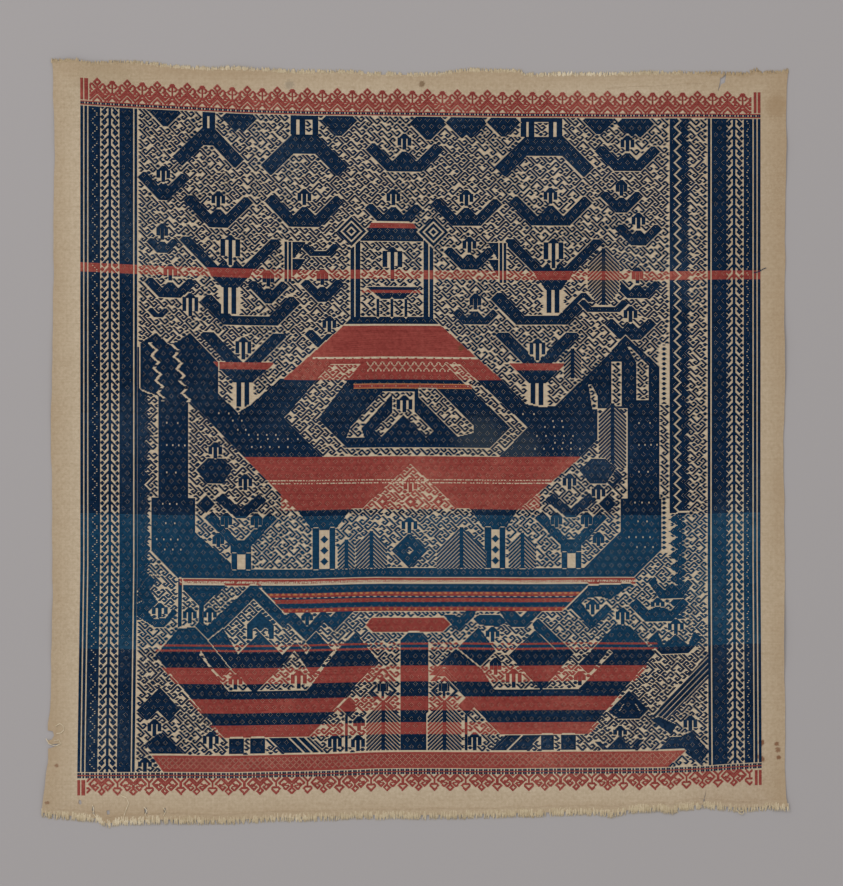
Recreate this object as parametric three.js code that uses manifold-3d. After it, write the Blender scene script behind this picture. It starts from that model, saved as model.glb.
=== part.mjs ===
// Ceremonial cloth lying flat and face up: one hand-woven length of cotton with its pattern woven in.
// The left and right sides are selvedges, the upper and lower ends are raw, and age has torn it in a few places.
// X runs to the right across the cloth, Y towards its upper end, Z up. The origin is on the surface under the
// middle of the cloth.
import * as THREE from "three";
import { mergeVertices } from "three/addons/utils/BufferGeometryUtils.js";
import Module from "manifold-3d";

// Driving dimensions in millimetres
const WIDTH = 709; // across the widest corners
const HEIGHT = 730.5;
const THICKNESS = 1.3; // ground weave with the pattern yarn lying on it
const MARGIN = 46; // how far in from the edge the cloth is cockled; inside this it lies flat
const COCKLE = 2.4; // lift of the highest cockle, at the very edge
const WAVER = 0.7; // how far a side wanders from its drawn line
const STEP = 10; // spacing of the points along the edge
const INSETS = [0, 8, 20, 33, MARGIN]; // loops of points, each this far in from the edge

// The four sides, walked clockwise. Each row is one corner or bend: [x, y], with y from the lowest point.
const UPPER_END = [
  [-344.5, 729.5], [-321, 730.5], [-307.5, 727.5], [-280, 728.5], [-247, 726.5], [-210.5, 723],
  [-166, 722.5], [-114, 719.5], [-61.5, 719.5], [-41.5, 717], [24, 717.5], [46, 720.5],
  [100, 720.5], [104.5, 717], [185.5, 717], [218.5, 718.5], [316.5, 717], [324, 721.5],
  [330, 717], [334.5, 719], [354.5, 720],
];
const RIGHT_SELVEDGE = [
  [354.5, 720], [353, 694.5], [352, 596.5], [351, 501.5], [351.5, 420], [350, 344],
  [351.5, 254.5], [350.5, 192], [351.5, 121.5], [351.5, 64.5], [352.5, 26.5], [354.5, 16],
];
const LOWER_END = [
  [354.5, 16], [337.5, 17.5], [313.5, 15], [282.5, 17.5], [272, 18], [252, 16],
  [244.5, 12.5], [231, 16], [214, 15], [187.5, 10], [152, 12], [81, 9.5], [14.5, 8.5],
  [-61.5, 8], [-109, 6.5], [-180.5, 3.5], [-242, 4], [-282, 2.5], [-291.5, 0],
  [-301, 5], [-339, 8.5], [-354.5, 10.5],
];
const LEFT_SELVEDGE = [
  [-354.5, 10.5], [-352.5, 26.5], [-348, 60], [-348.5, 95], [-345.5, 121.5], [-344.5, 178.5],
  [-344, 254.5], [-345.5, 387.5], [-343.5, 473], [-343, 587], [-342, 663], [-343.5, 718],
  [-344.5, 729.5],
];

// Places where the cloth is gone, each an outline of [x, y] rows
const TEARS = {
  upperRightTear: [
    [298.5, 724], [296.6, 724], [293.6, 714], [290, 712], [289.6, 708], [287.8, 699.5],
    [291.2, 706.5], [294.6, 708], [295.4, 713],
  ],
  leftNotch: [[-352, 82.5], [-344.6, 84], [-342.6, 88], [-343.6, 92], [-352, 93.5]],
  lowerRightSlit: [[276.8, 36.4], [273.9, 26.2], [276, 11], [279.6, 11], [276.3, 22.5], [275.2, 26]],
  lowerLeftHole: [[-319.4, 25.4], [-318.6, 27], [-316.8, 26.2], [-316.4, 23.4], [-317.6, 22.2], [-319.2, 23.2]],
};
const SURFACE_CLEARANCE = 5; // how far a cutting prism stands above and below the cloth

const wasm = await Module();
wasm.setup();

// Points about every STEP along one side, each row's own point among them, the last left to the next side.
// Between rows a slow and a quick sine push a point outward along `out`, fading to nothing at each row.
function walkSide(rows, out) {
  return rows.slice(1).flatMap((row, k) => {
    const from = new THREE.Vector2(...rows[k]);
    const to = new THREE.Vector2(...row);
    const count = Math.max(1, Math.round(from.distanceTo(to) / STEP));
    return Array.from({ length: count }, (_, i) => {
      const point = from.clone().lerp(to, i / count);
      const s = point.x + point.y;
      const wander = 0.6 * Math.sin(s / 17) + 0.4 * Math.sin(s / 6.1);
      return point.addScaledVector(out, WAVER * wander * Math.sin((Math.PI * i) / count));
    });
  });
}

const edge = [
  ...walkSide(UPPER_END, new THREE.Vector2(0, 1)),
  ...walkSide(RIGHT_SELVEDGE, new THREE.Vector2(1, 0)),
  ...walkSide(LOWER_END, new THREE.Vector2(0, -1)),
  ...walkSide(LEFT_SELVEDGE, new THREE.Vector2(-1, 0)),
];

// Lift of the cloth off the surface: humps that follow one another along the edge at uneven spacing, highest
// at the edge itself and gone at MARGIN.
function cockleLift(i, inset) {
  const s = (i / edge.length) * 2 * (WIDTH + HEIGHT);
  const hump = Math.max(0, Math.sin(s / 31 + 1.4 * Math.sin(s / 117)));
  const strength = 0.55 + 0.45 * Math.sin(s / 203 + 2);
  const reach = 1 - inset / MARGIN;
  return COCKLE * hump ** 2 * strength * reach ** 2;
}

// The sheet: loops of points drawn in from the edge, over and under, closed by a wall along the edge and by a
// flat face over the middle.
function sheetGeometry() {
  const n = edge.length;
  const positions = [];
  for (const top of [THICKNESS, 0]) {
    for (const inset of INSETS) {
      edge.forEach((p, i) => {
        const x = p.x * (1 - inset / (WIDTH / 2));
        const y = HEIGHT / 2 + (p.y - HEIGHT / 2) * (1 - inset / (HEIGHT / 2));
        positions.push(x, y, cockleLift(i, inset) + top);
      });
    }
  }
  const at = (side, loop, i) => (side * INSETS.length + loop) * n + (i % n);
  const index = [];
  const quad = (a, b, c, d) => index.push(a, b, c, a, c, d);
  for (let i = 0; i < n; i++) {
    for (let loop = 1; loop < INSETS.length; loop++) {
      quad(at(0, loop, i), at(0, loop, i + 1), at(0, loop - 1, i + 1), at(0, loop - 1, i));
      quad(at(1, loop - 1, i), at(1, loop - 1, i + 1), at(1, loop, i + 1), at(1, loop, i));
    }
    quad(at(0, 0, i), at(0, 0, i + 1), at(1, 0, i + 1), at(1, 0, i));
  }
  const inner = INSETS.length - 1;
  const innerLoop = edge.map((_, i) => {
    const k = 3 * at(0, inner, i);
    return new THREE.Vector2(positions[k], positions[k + 1]);
  });
  for (const [a, b, c] of THREE.ShapeUtils.triangulateShape(innerLoop, [])) {
    index.push(at(0, inner, a), at(0, inner, b), at(0, inner, c));
    index.push(at(1, inner, c), at(1, inner, b), at(1, inner, a));
  }
  const geometry = new THREE.BufferGeometry();
  geometry.setAttribute("position", new THREE.Float32BufferAttribute(positions, 3));
  geometry.setIndex(index);
  return geometry;
}

// A closed geometry as a solid that can be cut, and a solid as a geometry that can be drawn
function toSolid(geometry) {
  const bare = geometry.clone();
  bare.deleteAttribute("normal");
  bare.deleteAttribute("uv");
  const merged = mergeVertices(bare, 1e-4);
  return new wasm.Manifold(
    new wasm.Mesh({
      numProp: 3,
      vertProperties: merged.attributes.position.array,
      triVerts: new Uint32Array(merged.index.array),
    }),
  );
}

function toGeometry(solid) {
  const mesh = solid.getMesh();
  const geometry = new THREE.BufferGeometry();
  geometry.setAttribute("position", new THREE.BufferAttribute(mesh.vertProperties, 3));
  geometry.setIndex(new THREE.BufferAttribute(mesh.triVerts, 1));
  return geometry;
}

// A prism over one tear's outline, tall enough to go through the cloth wherever it lies
function tearPrism(rows) {
  const shape = new THREE.Shape(rows.map(([x, y]) => new THREE.Vector2(x, y)));
  const depth = THICKNESS + COCKLE + 2 * SURFACE_CLEARANCE;
  const prism = new THREE.ExtrudeGeometry(shape, { depth, bevelEnabled: false });
  return prism.translate(0, 0, -SURFACE_CLEARANCE);
}

let sheet = toSolid(sheetGeometry());
for (const rows of Object.values(TEARS)) {
  sheet = sheet.subtract(toSolid(tearPrism(rows)));
}

const cotton = new THREE.MeshStandardMaterial({ color: 0xb3a283, roughness: 0.92, metalness: 0 });
const cloth = new THREE.Mesh(toGeometry(sheet), cotton);
cloth.name = "cloth";
cloth.position.y = -HEIGHT / 2;

const ceremonialCloth = new THREE.Group();
ceremonialCloth.add(cloth);
export default ceremonialCloth;
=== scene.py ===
# %% [markdown]
# A ceremonial cloth is one loom length of handspun cotton. While the plain beige ground is woven, extra
# pattern wefts are laid in by hand between its picks, so each coloured form is a stack of short floats.
# Here the frame of the part is loaded first, and every piece made later keeps to its size.

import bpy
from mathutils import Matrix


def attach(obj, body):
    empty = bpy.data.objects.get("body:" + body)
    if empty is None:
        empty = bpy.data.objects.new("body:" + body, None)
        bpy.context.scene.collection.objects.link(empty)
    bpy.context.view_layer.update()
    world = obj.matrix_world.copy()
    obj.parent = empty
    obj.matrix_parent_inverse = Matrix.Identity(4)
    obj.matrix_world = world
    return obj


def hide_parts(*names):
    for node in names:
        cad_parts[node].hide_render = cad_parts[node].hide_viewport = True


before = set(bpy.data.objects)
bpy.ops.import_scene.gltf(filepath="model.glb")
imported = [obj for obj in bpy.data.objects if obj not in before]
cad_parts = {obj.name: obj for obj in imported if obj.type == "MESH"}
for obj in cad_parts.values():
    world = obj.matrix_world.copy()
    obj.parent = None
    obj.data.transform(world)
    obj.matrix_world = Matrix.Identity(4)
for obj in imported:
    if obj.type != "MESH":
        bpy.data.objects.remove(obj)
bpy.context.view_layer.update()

import bpy
import numpy as np

MM = 0.001
random = np.random.default_rng(18)
print("numpy", np.__version__)

# %% [markdown]
# The cloth lies on a table and is seen from straight above, so the camera hangs over its middle and
# looks down. A long lens far away keeps the sides parallel, as a copy stand does.

# %% Camera
PICTURE_HEIGHT = 886          # pixels
PIXEL = 0.95 * MM             # real size of one pixel of the picture on the cloth
LENS = 60.0                   # millimetres
SENSOR = 24.0                 # millimetres
eye = bpy.data.cameras.new("copy_stand")
eye.lens = LENS
eye.sensor_fit = "VERTICAL"
eye.sensor_height = SENSOR
camera = bpy.data.objects.new("copy_stand", eye)
bpy.context.scene.collection.objects.link(camera)
FRAME_MIDDLE = (6.4 * MM, 0.5 * MM)     # the cloth lies a little left of the picture's middle
camera.location = (*FRAME_MIDDLE, PICTURE_HEIGHT * PIXEL * LENS / SENSOR)
bpy.context.scene.camera = camera
print("camera height in metres:", round(camera.location.z, 3))

# %% [markdown]
# Handspun cotton has hardly any gloss, so its weave shows by soft light from one side. A wide panel to
# the upper left gives the direction and an even pale world fills the rest.

# %% Light
PANEL_PLACE = (-2.4, 2.7, 3.2)      # metres
PANEL_SIZE = 2.0
PANEL_POWER = 70.0                  # watts
WORLD_COLOUR = (1.0, 0.99, 0.985, 1)
WORLD_STRENGTH = 0.68

def lamp(name, place, size, power):
    """A square soft panel at place that faces the middle of the cloth."""
    panel = bpy.data.lights.new(name, "AREA")
    panel.size = size
    panel.energy = power
    stand = bpy.data.objects.new(name, panel)
    bpy.context.scene.collection.objects.link(stand)
    stand.location = place
    back = stand.location.normalized()
    stand.rotation_euler = back.to_track_quat("Z", "Y").to_euler()
    return stand

panel_stand = lamp("panel_upper_left", PANEL_PLACE, PANEL_SIZE, PANEL_POWER)
world = bpy.data.worlds.new("studio")
world.use_nodes = True
sky = world.node_tree.nodes["Background"].inputs
sky["Color"].default_value = WORLD_COLOUR
sky["Strength"].default_value = WORLD_STRENGTH
bpy.context.scene.world = world
bpy.context.scene.view_settings.view_transform = "Standard"
bpy.context.scene.view_settings.look = "None"
print("panel at", [round(v, 2) for v in panel_stand.location], "world strength", WORLD_STRENGTH)

# %% [markdown]
# Under the cloth lies a plain grey table. Two small helpers are made here and used throughout: one turns a
# screen colour into the linear light that a shader takes, the other makes a mesh from points and faces.

# %% Floor
def linear(red, green, blue):
    """Screen colour 0..255 as linear light: ((v + 0.055) / 1.055) to the power 2.4 for each channel v, and
    v / 12.92 near black."""
    v = np.array([red, green, blue]) / 255
    v = np.where(v <= 0.04045, v / 12.92, ((v + 0.055) / 1.055) ** 2.4)
    return (*v.tolist(), 1.0)

def new_mesh(name, points, faces):
    """A linked object at the origin from an array of points in metres and a list or array of faces."""
    mesh = bpy.data.meshes.new(name)
    mesh.from_pydata(points, [], faces.tolist() if hasattr(faces, "tolist") else faces)
    mesh.update()
    piece = bpy.data.objects.new(name, mesh)
    bpy.context.scene.collection.objects.link(piece)
    return piece

FLOOR = 1.6         # half width of the table in metres
floor_corners = [(-FLOOR, -FLOOR, 0), (FLOOR, -FLOOR, 0), (FLOOR, FLOOR, 0), (-FLOOR, FLOOR, 0)]
floor = new_mesh("studio_floor", floor_corners, [(0, 1, 2, 3)])
floor_paint = bpy.data.materials.new("floor_paint")
floor_paint.use_nodes = True
floor_shader = floor_paint.node_tree.nodes["Principled BSDF"]
floor_shader.inputs["Base Color"].default_value = linear(170, 166, 166)
floor_shader.inputs["Roughness"].default_value = 0.95
floor_shader.inputs["Specular IOR Level"].default_value = 0.1
floor.data.materials.append(floor_paint)
print("floor is", 2 * FLOOR, "m wide")

# %% [markdown]
# The cloth was never cut square. Its left and right sides are selvedges, its two ends are raw, and all
# four wander. Each side is a run of bends, walked clockwise, with small sine waves between the bends.

# %% The four sides
WIDTH = 709.0       # millimetres, across the widest corners
HEIGHT = 730.5
WAVER = 0.7         # how far a side wanders from its drawn line
SLOW, QUICK = 17, 6.1           # millimetres to a radian of the two waves
UPPER_END = [
    (-344.5, 729.5), (-321, 730.5), (-307.5, 727.5), (-280, 728.5), (-247, 726.5), (-210.5, 723),
    (-166, 722.5), (-114, 719.5), (-61.5, 719.5), (-41.5, 717), (24, 717.5), (46, 720.5),
    (100, 720.5), (104.5, 717), (185.5, 717), (218.5, 718.5), (316.5, 717), (324, 721.5),
    (330, 717), (334.5, 719), (354.5, 720),
]
RIGHT_SELVEDGE = [
    (354.5, 720), (353, 694.5), (352, 596.5), (351, 501.5), (351.5, 420), (350, 344),
    (351.5, 254.5), (350.5, 192), (351.5, 121.5), (351.5, 64.5), (352.5, 26.5), (354.5, 16),
]
LOWER_END = [
    (354.5, 16), (337.5, 17.5), (313.5, 15), (282.5, 17.5), (272, 18), (252, 16),
    (244.5, 12.5), (231, 16), (214, 15), (187.5, 10), (152, 12), (81, 9.5), (14.5, 8.5),
    (-61.5, 8), (-109, 6.5), (-180.5, 3.5), (-242, 4), (-282, 2.5), (-291.5, 0),
    (-301, 5), (-339, 8.5), (-354.5, 10.5),
]
LEFT_SELVEDGE = [
    (-354.5, 10.5), (-352.5, 26.5), (-348, 60), (-348.5, 95), (-345.5, 121.5), (-344.5, 178.5),
    (-344, 254.5), (-345.5, 387.5), (-343.5, 473), (-343, 587), (-342, 663), (-343.5, 718),
    (-344.5, 729.5),
]

def side_points(bends, out, share):
    """Points of one side at the given shares of its length: straight between two bends, pushed outward by
    a slow and a quick sine of x + y that fade to nothing at each bend."""
    bends = np.array(bends, float)
    lengths = np.hypot(*np.diff(bends, axis=0).T)
    way = np.concatenate([[0], np.cumsum(lengths)])
    s = share * way[-1]
    k = np.clip(np.searchsorted(way, s, side="right") - 1, 0, len(lengths) - 1)
    part = (s - way[k]) / lengths[k]
    point = bends[k] + (bends[k + 1] - bends[k]) * part[:, None]
    wander = point.sum(axis=1)
    push = WAVER * (0.6 * np.sin(wander / SLOW) + 0.4 * np.sin(wander / QUICK)) * np.sin(np.pi * part)
    return point + push[:, None] * np.array(out, float)

SIDES = ((UPPER_END, (0, 1)), (RIGHT_SELVEDGE, (1, 0)), (LOWER_END, (0, -1)), (LEFT_SELVEDGE, (-1, 0)))
walked = [side_points(bends, out, np.linspace(0, 1, 400)) for bends, out in SIDES]
print("outline in millimetres:", np.ptp(np.vstack(walked), axis=0).round(1))

# %% [markdown]
# A cloth that has lain folded never lies quite flat again. Along the edge it rises in small humps,
# cockles, that follow one another unevenly and die away towards the middle.

# %% Height of the cloth
MARGIN = 46.0       # how far in from the edge the cloth is cockled
COCKLE = 2.4        # lift of the highest cockle, at the very edge
HUMP, DRIFT, SWELL = 31, 117, 203       # millimetres along the edge to a radian of each wave

def cockle_lift(x, y):
    """Lift in millimetres at x, y (y from the lowest point): with s the way along the edge,
    COCKLE * max(0, sin(s / HUMP + 1.4 sin(s / DRIFT)))^2, stronger and weaker by turns, times the squared
    closeness to the edge."""
    u, v = x / (WIDTH / 2), (y - HEIGHT / 2) / (HEIGHT / 2)
    reach = np.clip(1 - (1 - np.maximum(np.abs(u), np.abs(v))) * (WIDTH / 2) / MARGIN, 0, 1)
    side_x = np.abs(u) > np.abs(v)
    along = np.where(side_x, np.where(u > 0, 1 + (1 - v) / 2, 3 + (1 + v) / 2),
                     np.where(v > 0, (1 + u) / 2, 2 + (1 - u) / 2))
    s = along * (WIDTH + HEIGHT) / 2
    hump = np.maximum(0, np.sin(s / HUMP + 1.4 * np.sin(s / DRIFT)))
    return COCKLE * hump**2 * (0.55 + 0.45 * np.sin(s / SWELL + 2)) * reach**2

def relief(x, y):
    """Fine unevenness of the lying cloth in millimetres: three low crossing sine waves, never below zero."""
    wave = np.sin(x / 41 + 2 * np.sin(y / 97)) + np.sin(y / 33 - x / 71) + np.sin((x + y) / 23)
    return 0.05 * (wave + 3)

along_upper_end = cockle_lift(np.linspace(-350, 350, 999), np.full(999, 725.0))
print("highest cockle along the upper end:", round(float(along_upper_end.max()), 2), "mm")

# %% [markdown]
# The ground weave is one closed sheet. Its grid is a Coons patch: every inner point blends the four
# wandering sides, so the rows of the grid run like the picks and the columns like the warp. At the two raw
# ends the last picks have slipped off, so the sheet stops short there and only the warp goes on.

# %% Ground cloth
GROUND = 0.8        # thickness of the plain weave in millimetres
ACROSS, ALONG = 164, 168        # cells of the grid
SHED_UPPER = 1.6    # depth of the picks that have slipped off the upper end, in millimetres
SHED_LOWER = 4.2    # and off the lower end

def coons(u, v):
    """Point at shares u across and v up: the blend of the lower and upper side, plus the blend of the left
    and right side, minus the blend of the four corners that both counted."""
    upper = side_points(UPPER_END, (0, 1), u.ravel()).reshape(*u.shape, 2) - np.array([0, SHED_UPPER])
    lower = side_points(LOWER_END, (0, -1), 1 - u.ravel()).reshape(*u.shape, 2) + np.array([0, SHED_LOWER])
    left = side_points(LEFT_SELVEDGE, (-1, 0), v.ravel()).reshape(*u.shape, 2)
    right = side_points(RIGHT_SELVEDGE, (1, 0), 1 - v.ravel()).reshape(*u.shape, 2)
    low_left, low_right, top_left, top_right = (np.array(p, float) for p in (
        LOWER_END[-1], LOWER_END[0], UPPER_END[0], UPPER_END[-1]))
    U, V = u[..., None], v[..., None]
    corners = (1 - V) * ((1 - U) * low_left + U * low_right) + V * ((1 - U) * top_left + U * top_right)
    return (1 - V) * lower + V * upper + (1 - U) * left + U * right - corners

def ground_top(x, y):
    """Height in millimetres of the face of the ground weave: its thickness on the lifted, uneven cloth."""
    return GROUND + cockle_lift(x, y) + relief(x, y)

def to_frame(x, y, z):
    """Millimetres with y from the lowest point, as metres with the origin under the middle."""
    return np.stack([x, y - HEIGHT / 2, z], axis=-1) * MM

u, v = np.meshgrid(np.linspace(0, 1, ACROSS + 1), np.linspace(0, 1, ALONG + 1), indexing="ij")
flat = coons(u, v)
gx, gy = flat[..., 0], flat[..., 1]
lift = cockle_lift(gx, gy)
top = to_frame(gx, gy, ground_top(gx, gy)).reshape(-1, 3)
under = to_frame(gx, gy, lift).reshape(-1, 3)
number = np.arange(u.size).reshape(u.shape)
a, b, c, d = number[:-1, :-1], number[1:, :-1], number[1:, 1:], number[:-1, 1:]
upper_faces = np.stack([a, b, c, d], axis=-1).reshape(-1, 4)
loop = np.concatenate([number[:-1, 0], number[-1, :-1], number[:0:-1, -1], number[0, :0:-1]])
nxt = np.roll(loop, -1)
walls = np.stack([loop + u.size, nxt + u.size, nxt, loop], axis=-1)
ground = new_mesh("ground_cloth", np.vstack([top, under]),
                  np.vstack([upper_faces, upper_faces[:, ::-1] + u.size, walls]))
print("ground cloth grid:", ACROSS, "by", ALONG, "cells")

# %% [markdown]
# Age has torn the cloth in a few places. Each tear is an outline; a prism over it is cut out of the sheet.

# %% Tears
TEARS = {
    "upper_right_tear": [
        (298.5, 724), (296.6, 724), (293.6, 714), (290, 712), (289.6, 708), (287.8, 699.5),
        (291.2, 706.5), (294.6, 708), (295.4, 713),
    ],
    "left_notch": [(-352, 82.5), (-344.6, 84), (-342.6, 88), (-343.6, 92), (-352, 93.5)],
    "lower_right_slit": [(276.8, 36.4), (273.9, 26.2), (276, 11), (279.6, 11), (276.3, 22.5), (275.2, 26)],
    "lower_left_hole": [
        (-319.4, 25.4), (-318.6, 27), (-316.8, 26.2), (-316.4, 23.4), (-317.6, 22.2), (-319.2, 23.2),
    ],
    "left_tear": [
        (-356, 73), (-346, 76), (-337, 79.2), (-337, 80.4), (-346, 79.6), (-352, 80.5), (-356, 80.5),
    ],
    "lower_slit_a": [(-306.4, 20.5), (-304.6, 21), (-304, 15), (-304.6, 12), (-306.2, 14)],
    "lower_slit_b": [(-292.8, 16.6), (-290, 17.2), (-289.6, 13.2), (-292.2, 12.6)],
    "lower_slit_c": [(-257, 19), (-254.6, 19.6), (-253.8, 14), (-256.4, 13.2)],
    "lower_slit_d": [(-238.6, 18.8), (-236.6, 19.2), (-236, 14.6), (-238.2, 14)],
}
PRISM_FROM, PRISM_TO = -5.0, 10.0       # millimetres under and over the table

def prism(name, outline):
    """Closed prism over an outline. An outline that runs clockwise, which makes the sum of its cross
    products negative, is walked backwards, so that the faces look outward."""
    n = len(outline)
    turned_sum = sum(p[0] * q[1] - q[0] * p[1] for p, q in zip(outline, outline[1:] + outline[:1]))
    if turned_sum < 0:
        outline = outline[::-1]
    xy = np.array(outline, float)
    points = np.vstack([to_frame(xy[:, 0], xy[:, 1], np.full(n, z)) for z in (PRISM_FROM, PRISM_TO)])
    sides = [(i, (i + 1) % n, (i + 1) % n + n, i + n) for i in range(n)]
    return new_mesh(name, points, [tuple(range(n - 1, -1, -1)), tuple(range(n, 2 * n))] + sides)

for name, outline in TEARS.items():
    cutter = prism(name, outline)
    cut_out = ground.modifiers.new(name, "BOOLEAN")
    cut_out.operation = "DIFFERENCE"
    cut_out.object = cutter
    cut_out.solver = "EXACT"
    shown = ground.evaluated_get(bpy.context.evaluated_depsgraph_get())
    torn = bpy.data.meshes.new_from_object(shown)
    ground.modifiers.remove(cut_out)
    ground.data = torn
    bpy.data.objects.remove(cutter)
ground.data.name = "ground_cloth"
print("ground cloth faces after", len(TEARS), "tears:", len(ground.data.polygons))

# %% [markdown]
# The weaver works from memory, counting warp ends. Here the same count is a chart: one cell is one pick
# high and one small group of ends wide. Each mask says true or false for every cell, so a form is a rule
# about rows and columns, and its slanting sides rise one cell per cell as they do on the loom.

# %% The empty chart
LEFT, RIGHT = -327, 352         # first and last columns, counted from the pattern's middle line
FIELD_LEFT, FIELD_RIGHT = -270, 300
PICKS = 654                     # picks of the field, counted down from its upper edge
ABOVE, BELOW = 28, 26           # picks of the borders at the two ends
MID_FROM, MID_TO = 400, 533     # picks woven from the paler lot of blue
C, R = np.meshgrid(np.arange(LEFT, RIGHT), np.arange(-ABOVE, PICKS + BELOW))

def empty():
    """A mask with no cell set."""
    return np.zeros(C.shape, bool)

solid = empty()     # broad forms, tied down with rings
line = empty()      # posts, figures and other narrow forms
plain = empty()     # ground kept free of hooks
red = empty()       # where forms are red
pale = empty()      # where they are white
orange = empty()    # where a pale orange yarn lies in place of the red
print("chart:", C.shape[1], "columns,", C.shape[0], "picks")

# %% [markdown]
# Almost every form is one of a few shapes: a slab, a diamond, a boat with a hollow hold, a bent line, or
# an outline drawn through its corners.

# %% Shapes of the chart
def slab(top, end, left0, right0, left1=None, right1=None):
    """Picks from top up to end, between two columns that go evenly from left0, right0 to left1, right1."""
    left1 = left0 if left1 is None else left1
    right1 = right0 if right1 is None else right1
    f = (R - top) / (end - top)
    return (R >= top) & (R < end) & (C >= left0 + (left1 - left0) * f) & (C < right0 + (right1 - right0) * f)

def trapezoid(c, top, end, half0, half1):
    """Slab about column c whose half width goes from half0 to half1."""
    return slab(top, end, c - half0, c + half0, c - half1, c + half1)

def diamond(c, r, half):
    """Cells whose steps across and steps down from c, r add up to no more than half."""
    return np.abs(C - c) + np.abs(R - r) <= half

def boat(c, top, half, depth, arm, tent=True):
    """A hull whose steps across plus steps down stay under its half length, less a smaller hold of the same
    shape, whose depth and width leave sides as thick as arm. The tent is a peak standing in the hold."""
    end = arm // 2
    side, down = np.abs(C - c), R - top
    hull = (down >= 0) & (down < depth) & (side + down <= half + end) & (side - down <= half - end)
    hold = (down < depth - 0.75 * arm) & (side + down <= half + end - 1.25 * arm)
    tented = (down >= side + depth - 1.9 * arm) & (side < half / 2) if tent else empty()
    return hull & (~hold | tented)

def bent(half, *corners):
    """Cells within half a width, measured across, of the lines that join the corners."""
    near = empty()
    for (c0, r0), (c1, r1) in zip(corners, corners[1:]):
        share = (R + 0.5 - r0) / (r1 - r0)
        near |= (share >= 0) & (share <= 1) & (np.abs(C + 0.5 - c0 - (c1 - c0) * share) <= half)
    return near

def polygon(*corners):
    """Cells whose middle lies inside the corners: a ray to the right crosses the outline an odd number of
    times."""
    inside = empty()
    x, y = C + 0.5, R + 0.5
    for (x0, y0), (x1, y1) in zip(corners, corners[1:] + corners[:1]):
        if y0 != y1:
            inside ^= ((y0 > y) != (y1 > y)) & (x < (x1 - x0) * (y - y0) / (y1 - y0) + x0)
    return inside

print("a boat of half length 30 has", int(boat(0, 200, 30, 24, 10).sum()), "cells")

# %% [markdown]
# A weaver keeps a thin line of ground round each form so that it stands clear of its neighbours. `lay` and
# `draw` do that: they clear the ground round a new form before they set it.

# %% Laying forms down
def grown(mask, reach):
    """The mask widened by this many cells along rows and columns, one cell in each round."""
    for _ in range(reach):
        g = mask.copy()
        g[1:] |= mask[:-1]
        g[:-1] |= mask[1:]
        g[:, 1:] |= mask[:, :-1]
        g[:, :-1] |= mask[:, 1:]
        mask = g
    return mask

def lay(mask, edge=2):
    """Set a broad form and clear the edge round it."""
    around = grown(mask, edge)
    solid[around] = False
    line[around] = False
    solid[mask] = True

def draw(mask, edge=2):
    """Set a narrow form and clear the edge round it."""
    around = grown(mask, edge)
    solid[around] = False
    line[around] = False
    line[mask] = True

def cut(mask):
    """Take both kinds of form away, so that bare ground is left."""
    solid[mask] = False
    line[mask] = False

print("a form with one cell, grown by 2, has", int(grown(diamond(0, 300, 0), 2).sum()), "cells")

# %% [markdown]
# The upper field is a fleet of small boats with figures in them, under roofs that hang from its upper
# edge. On the real cloth they carry people, banners and houses.

# %% Roofs and small boats
def figure(c, top, wide=6, tall=12, stem=4, legs=3):
    """A small standing figure: a pointed head, two legs hanging from it and a stalk between them."""
    side, down = np.abs(C - c), R - top
    head = (down >= 0) & (down < 5) & (side <= down + 1) & (side <= wide)
    outer = (down >= 4) & (down < tall) & (side >= wide - legs + 1) & (side <= wide)
    stalk = (down >= 4) & (down < tall + stem) & (side <= 1)
    return head | outer | stalk

def posts(top, end, *pairs):
    """Upright slabs, one for each pair of columns."""
    out = empty()
    for a, b in pairs:
        out |= slab(top, end, a, b)
    return out

def roof(c, top, half, thick, flat):
    """A flat ridge whose sides fall one pick a column, as thick as given and cut square at the eaves."""
    side, down = np.abs(C - c), R - top
    fall = np.maximum(side - flat, 0)
    return (down >= fall) & (down < fall + thick) & (side + down <= 2 * half - flat + 4)

# centre, top pick, half span, thickness, flat top, posts below the edge
ROOFS = [
    (-200, 15, 33, 18, 5, [(-5, -1), (2, 7)]),
    (-104, 18, 41, 20, 11, [(-13, -8), (-4, 1), (9, 14)]),
    (136, 18, 47, 20, 18, [(-23, -18), (-15, -10), (5, 9), (13, 18)]),
]
for c, top, half, thick, flat, feet in ROOFS:
    lay(roof(c, top, half, thick, flat))
    lay(slab(0, 4, c + feet[0][0], c + feet[-1][1]), 0)
    solid[slab(4, top + 1, c + feet[0][0], c + feet[-1][1])] = False
    line[posts(4, top + 1, *[(c + a, c + b) for a, b in feet])] = True

# centre, middle pick, half width, half width of the notch below
EDGE_DIAMONDS = [
    (-243, 2, 15, 0), (-169, 4, 17, 7), (-69, 4, 17, 0), (20, 6, 18, 0), (58, 5, 20, 8),
    (95, 4, 16, 0), (190, 2, 15, 0), (227, 5, 18, 8),
]
for c, r, half, notch in EDGE_DIAMONDS:
    lay(diamond(c, r, half) & (R < r + half - 1))
    if notch:
        cut(diamond(c, r + half, notch))

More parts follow.
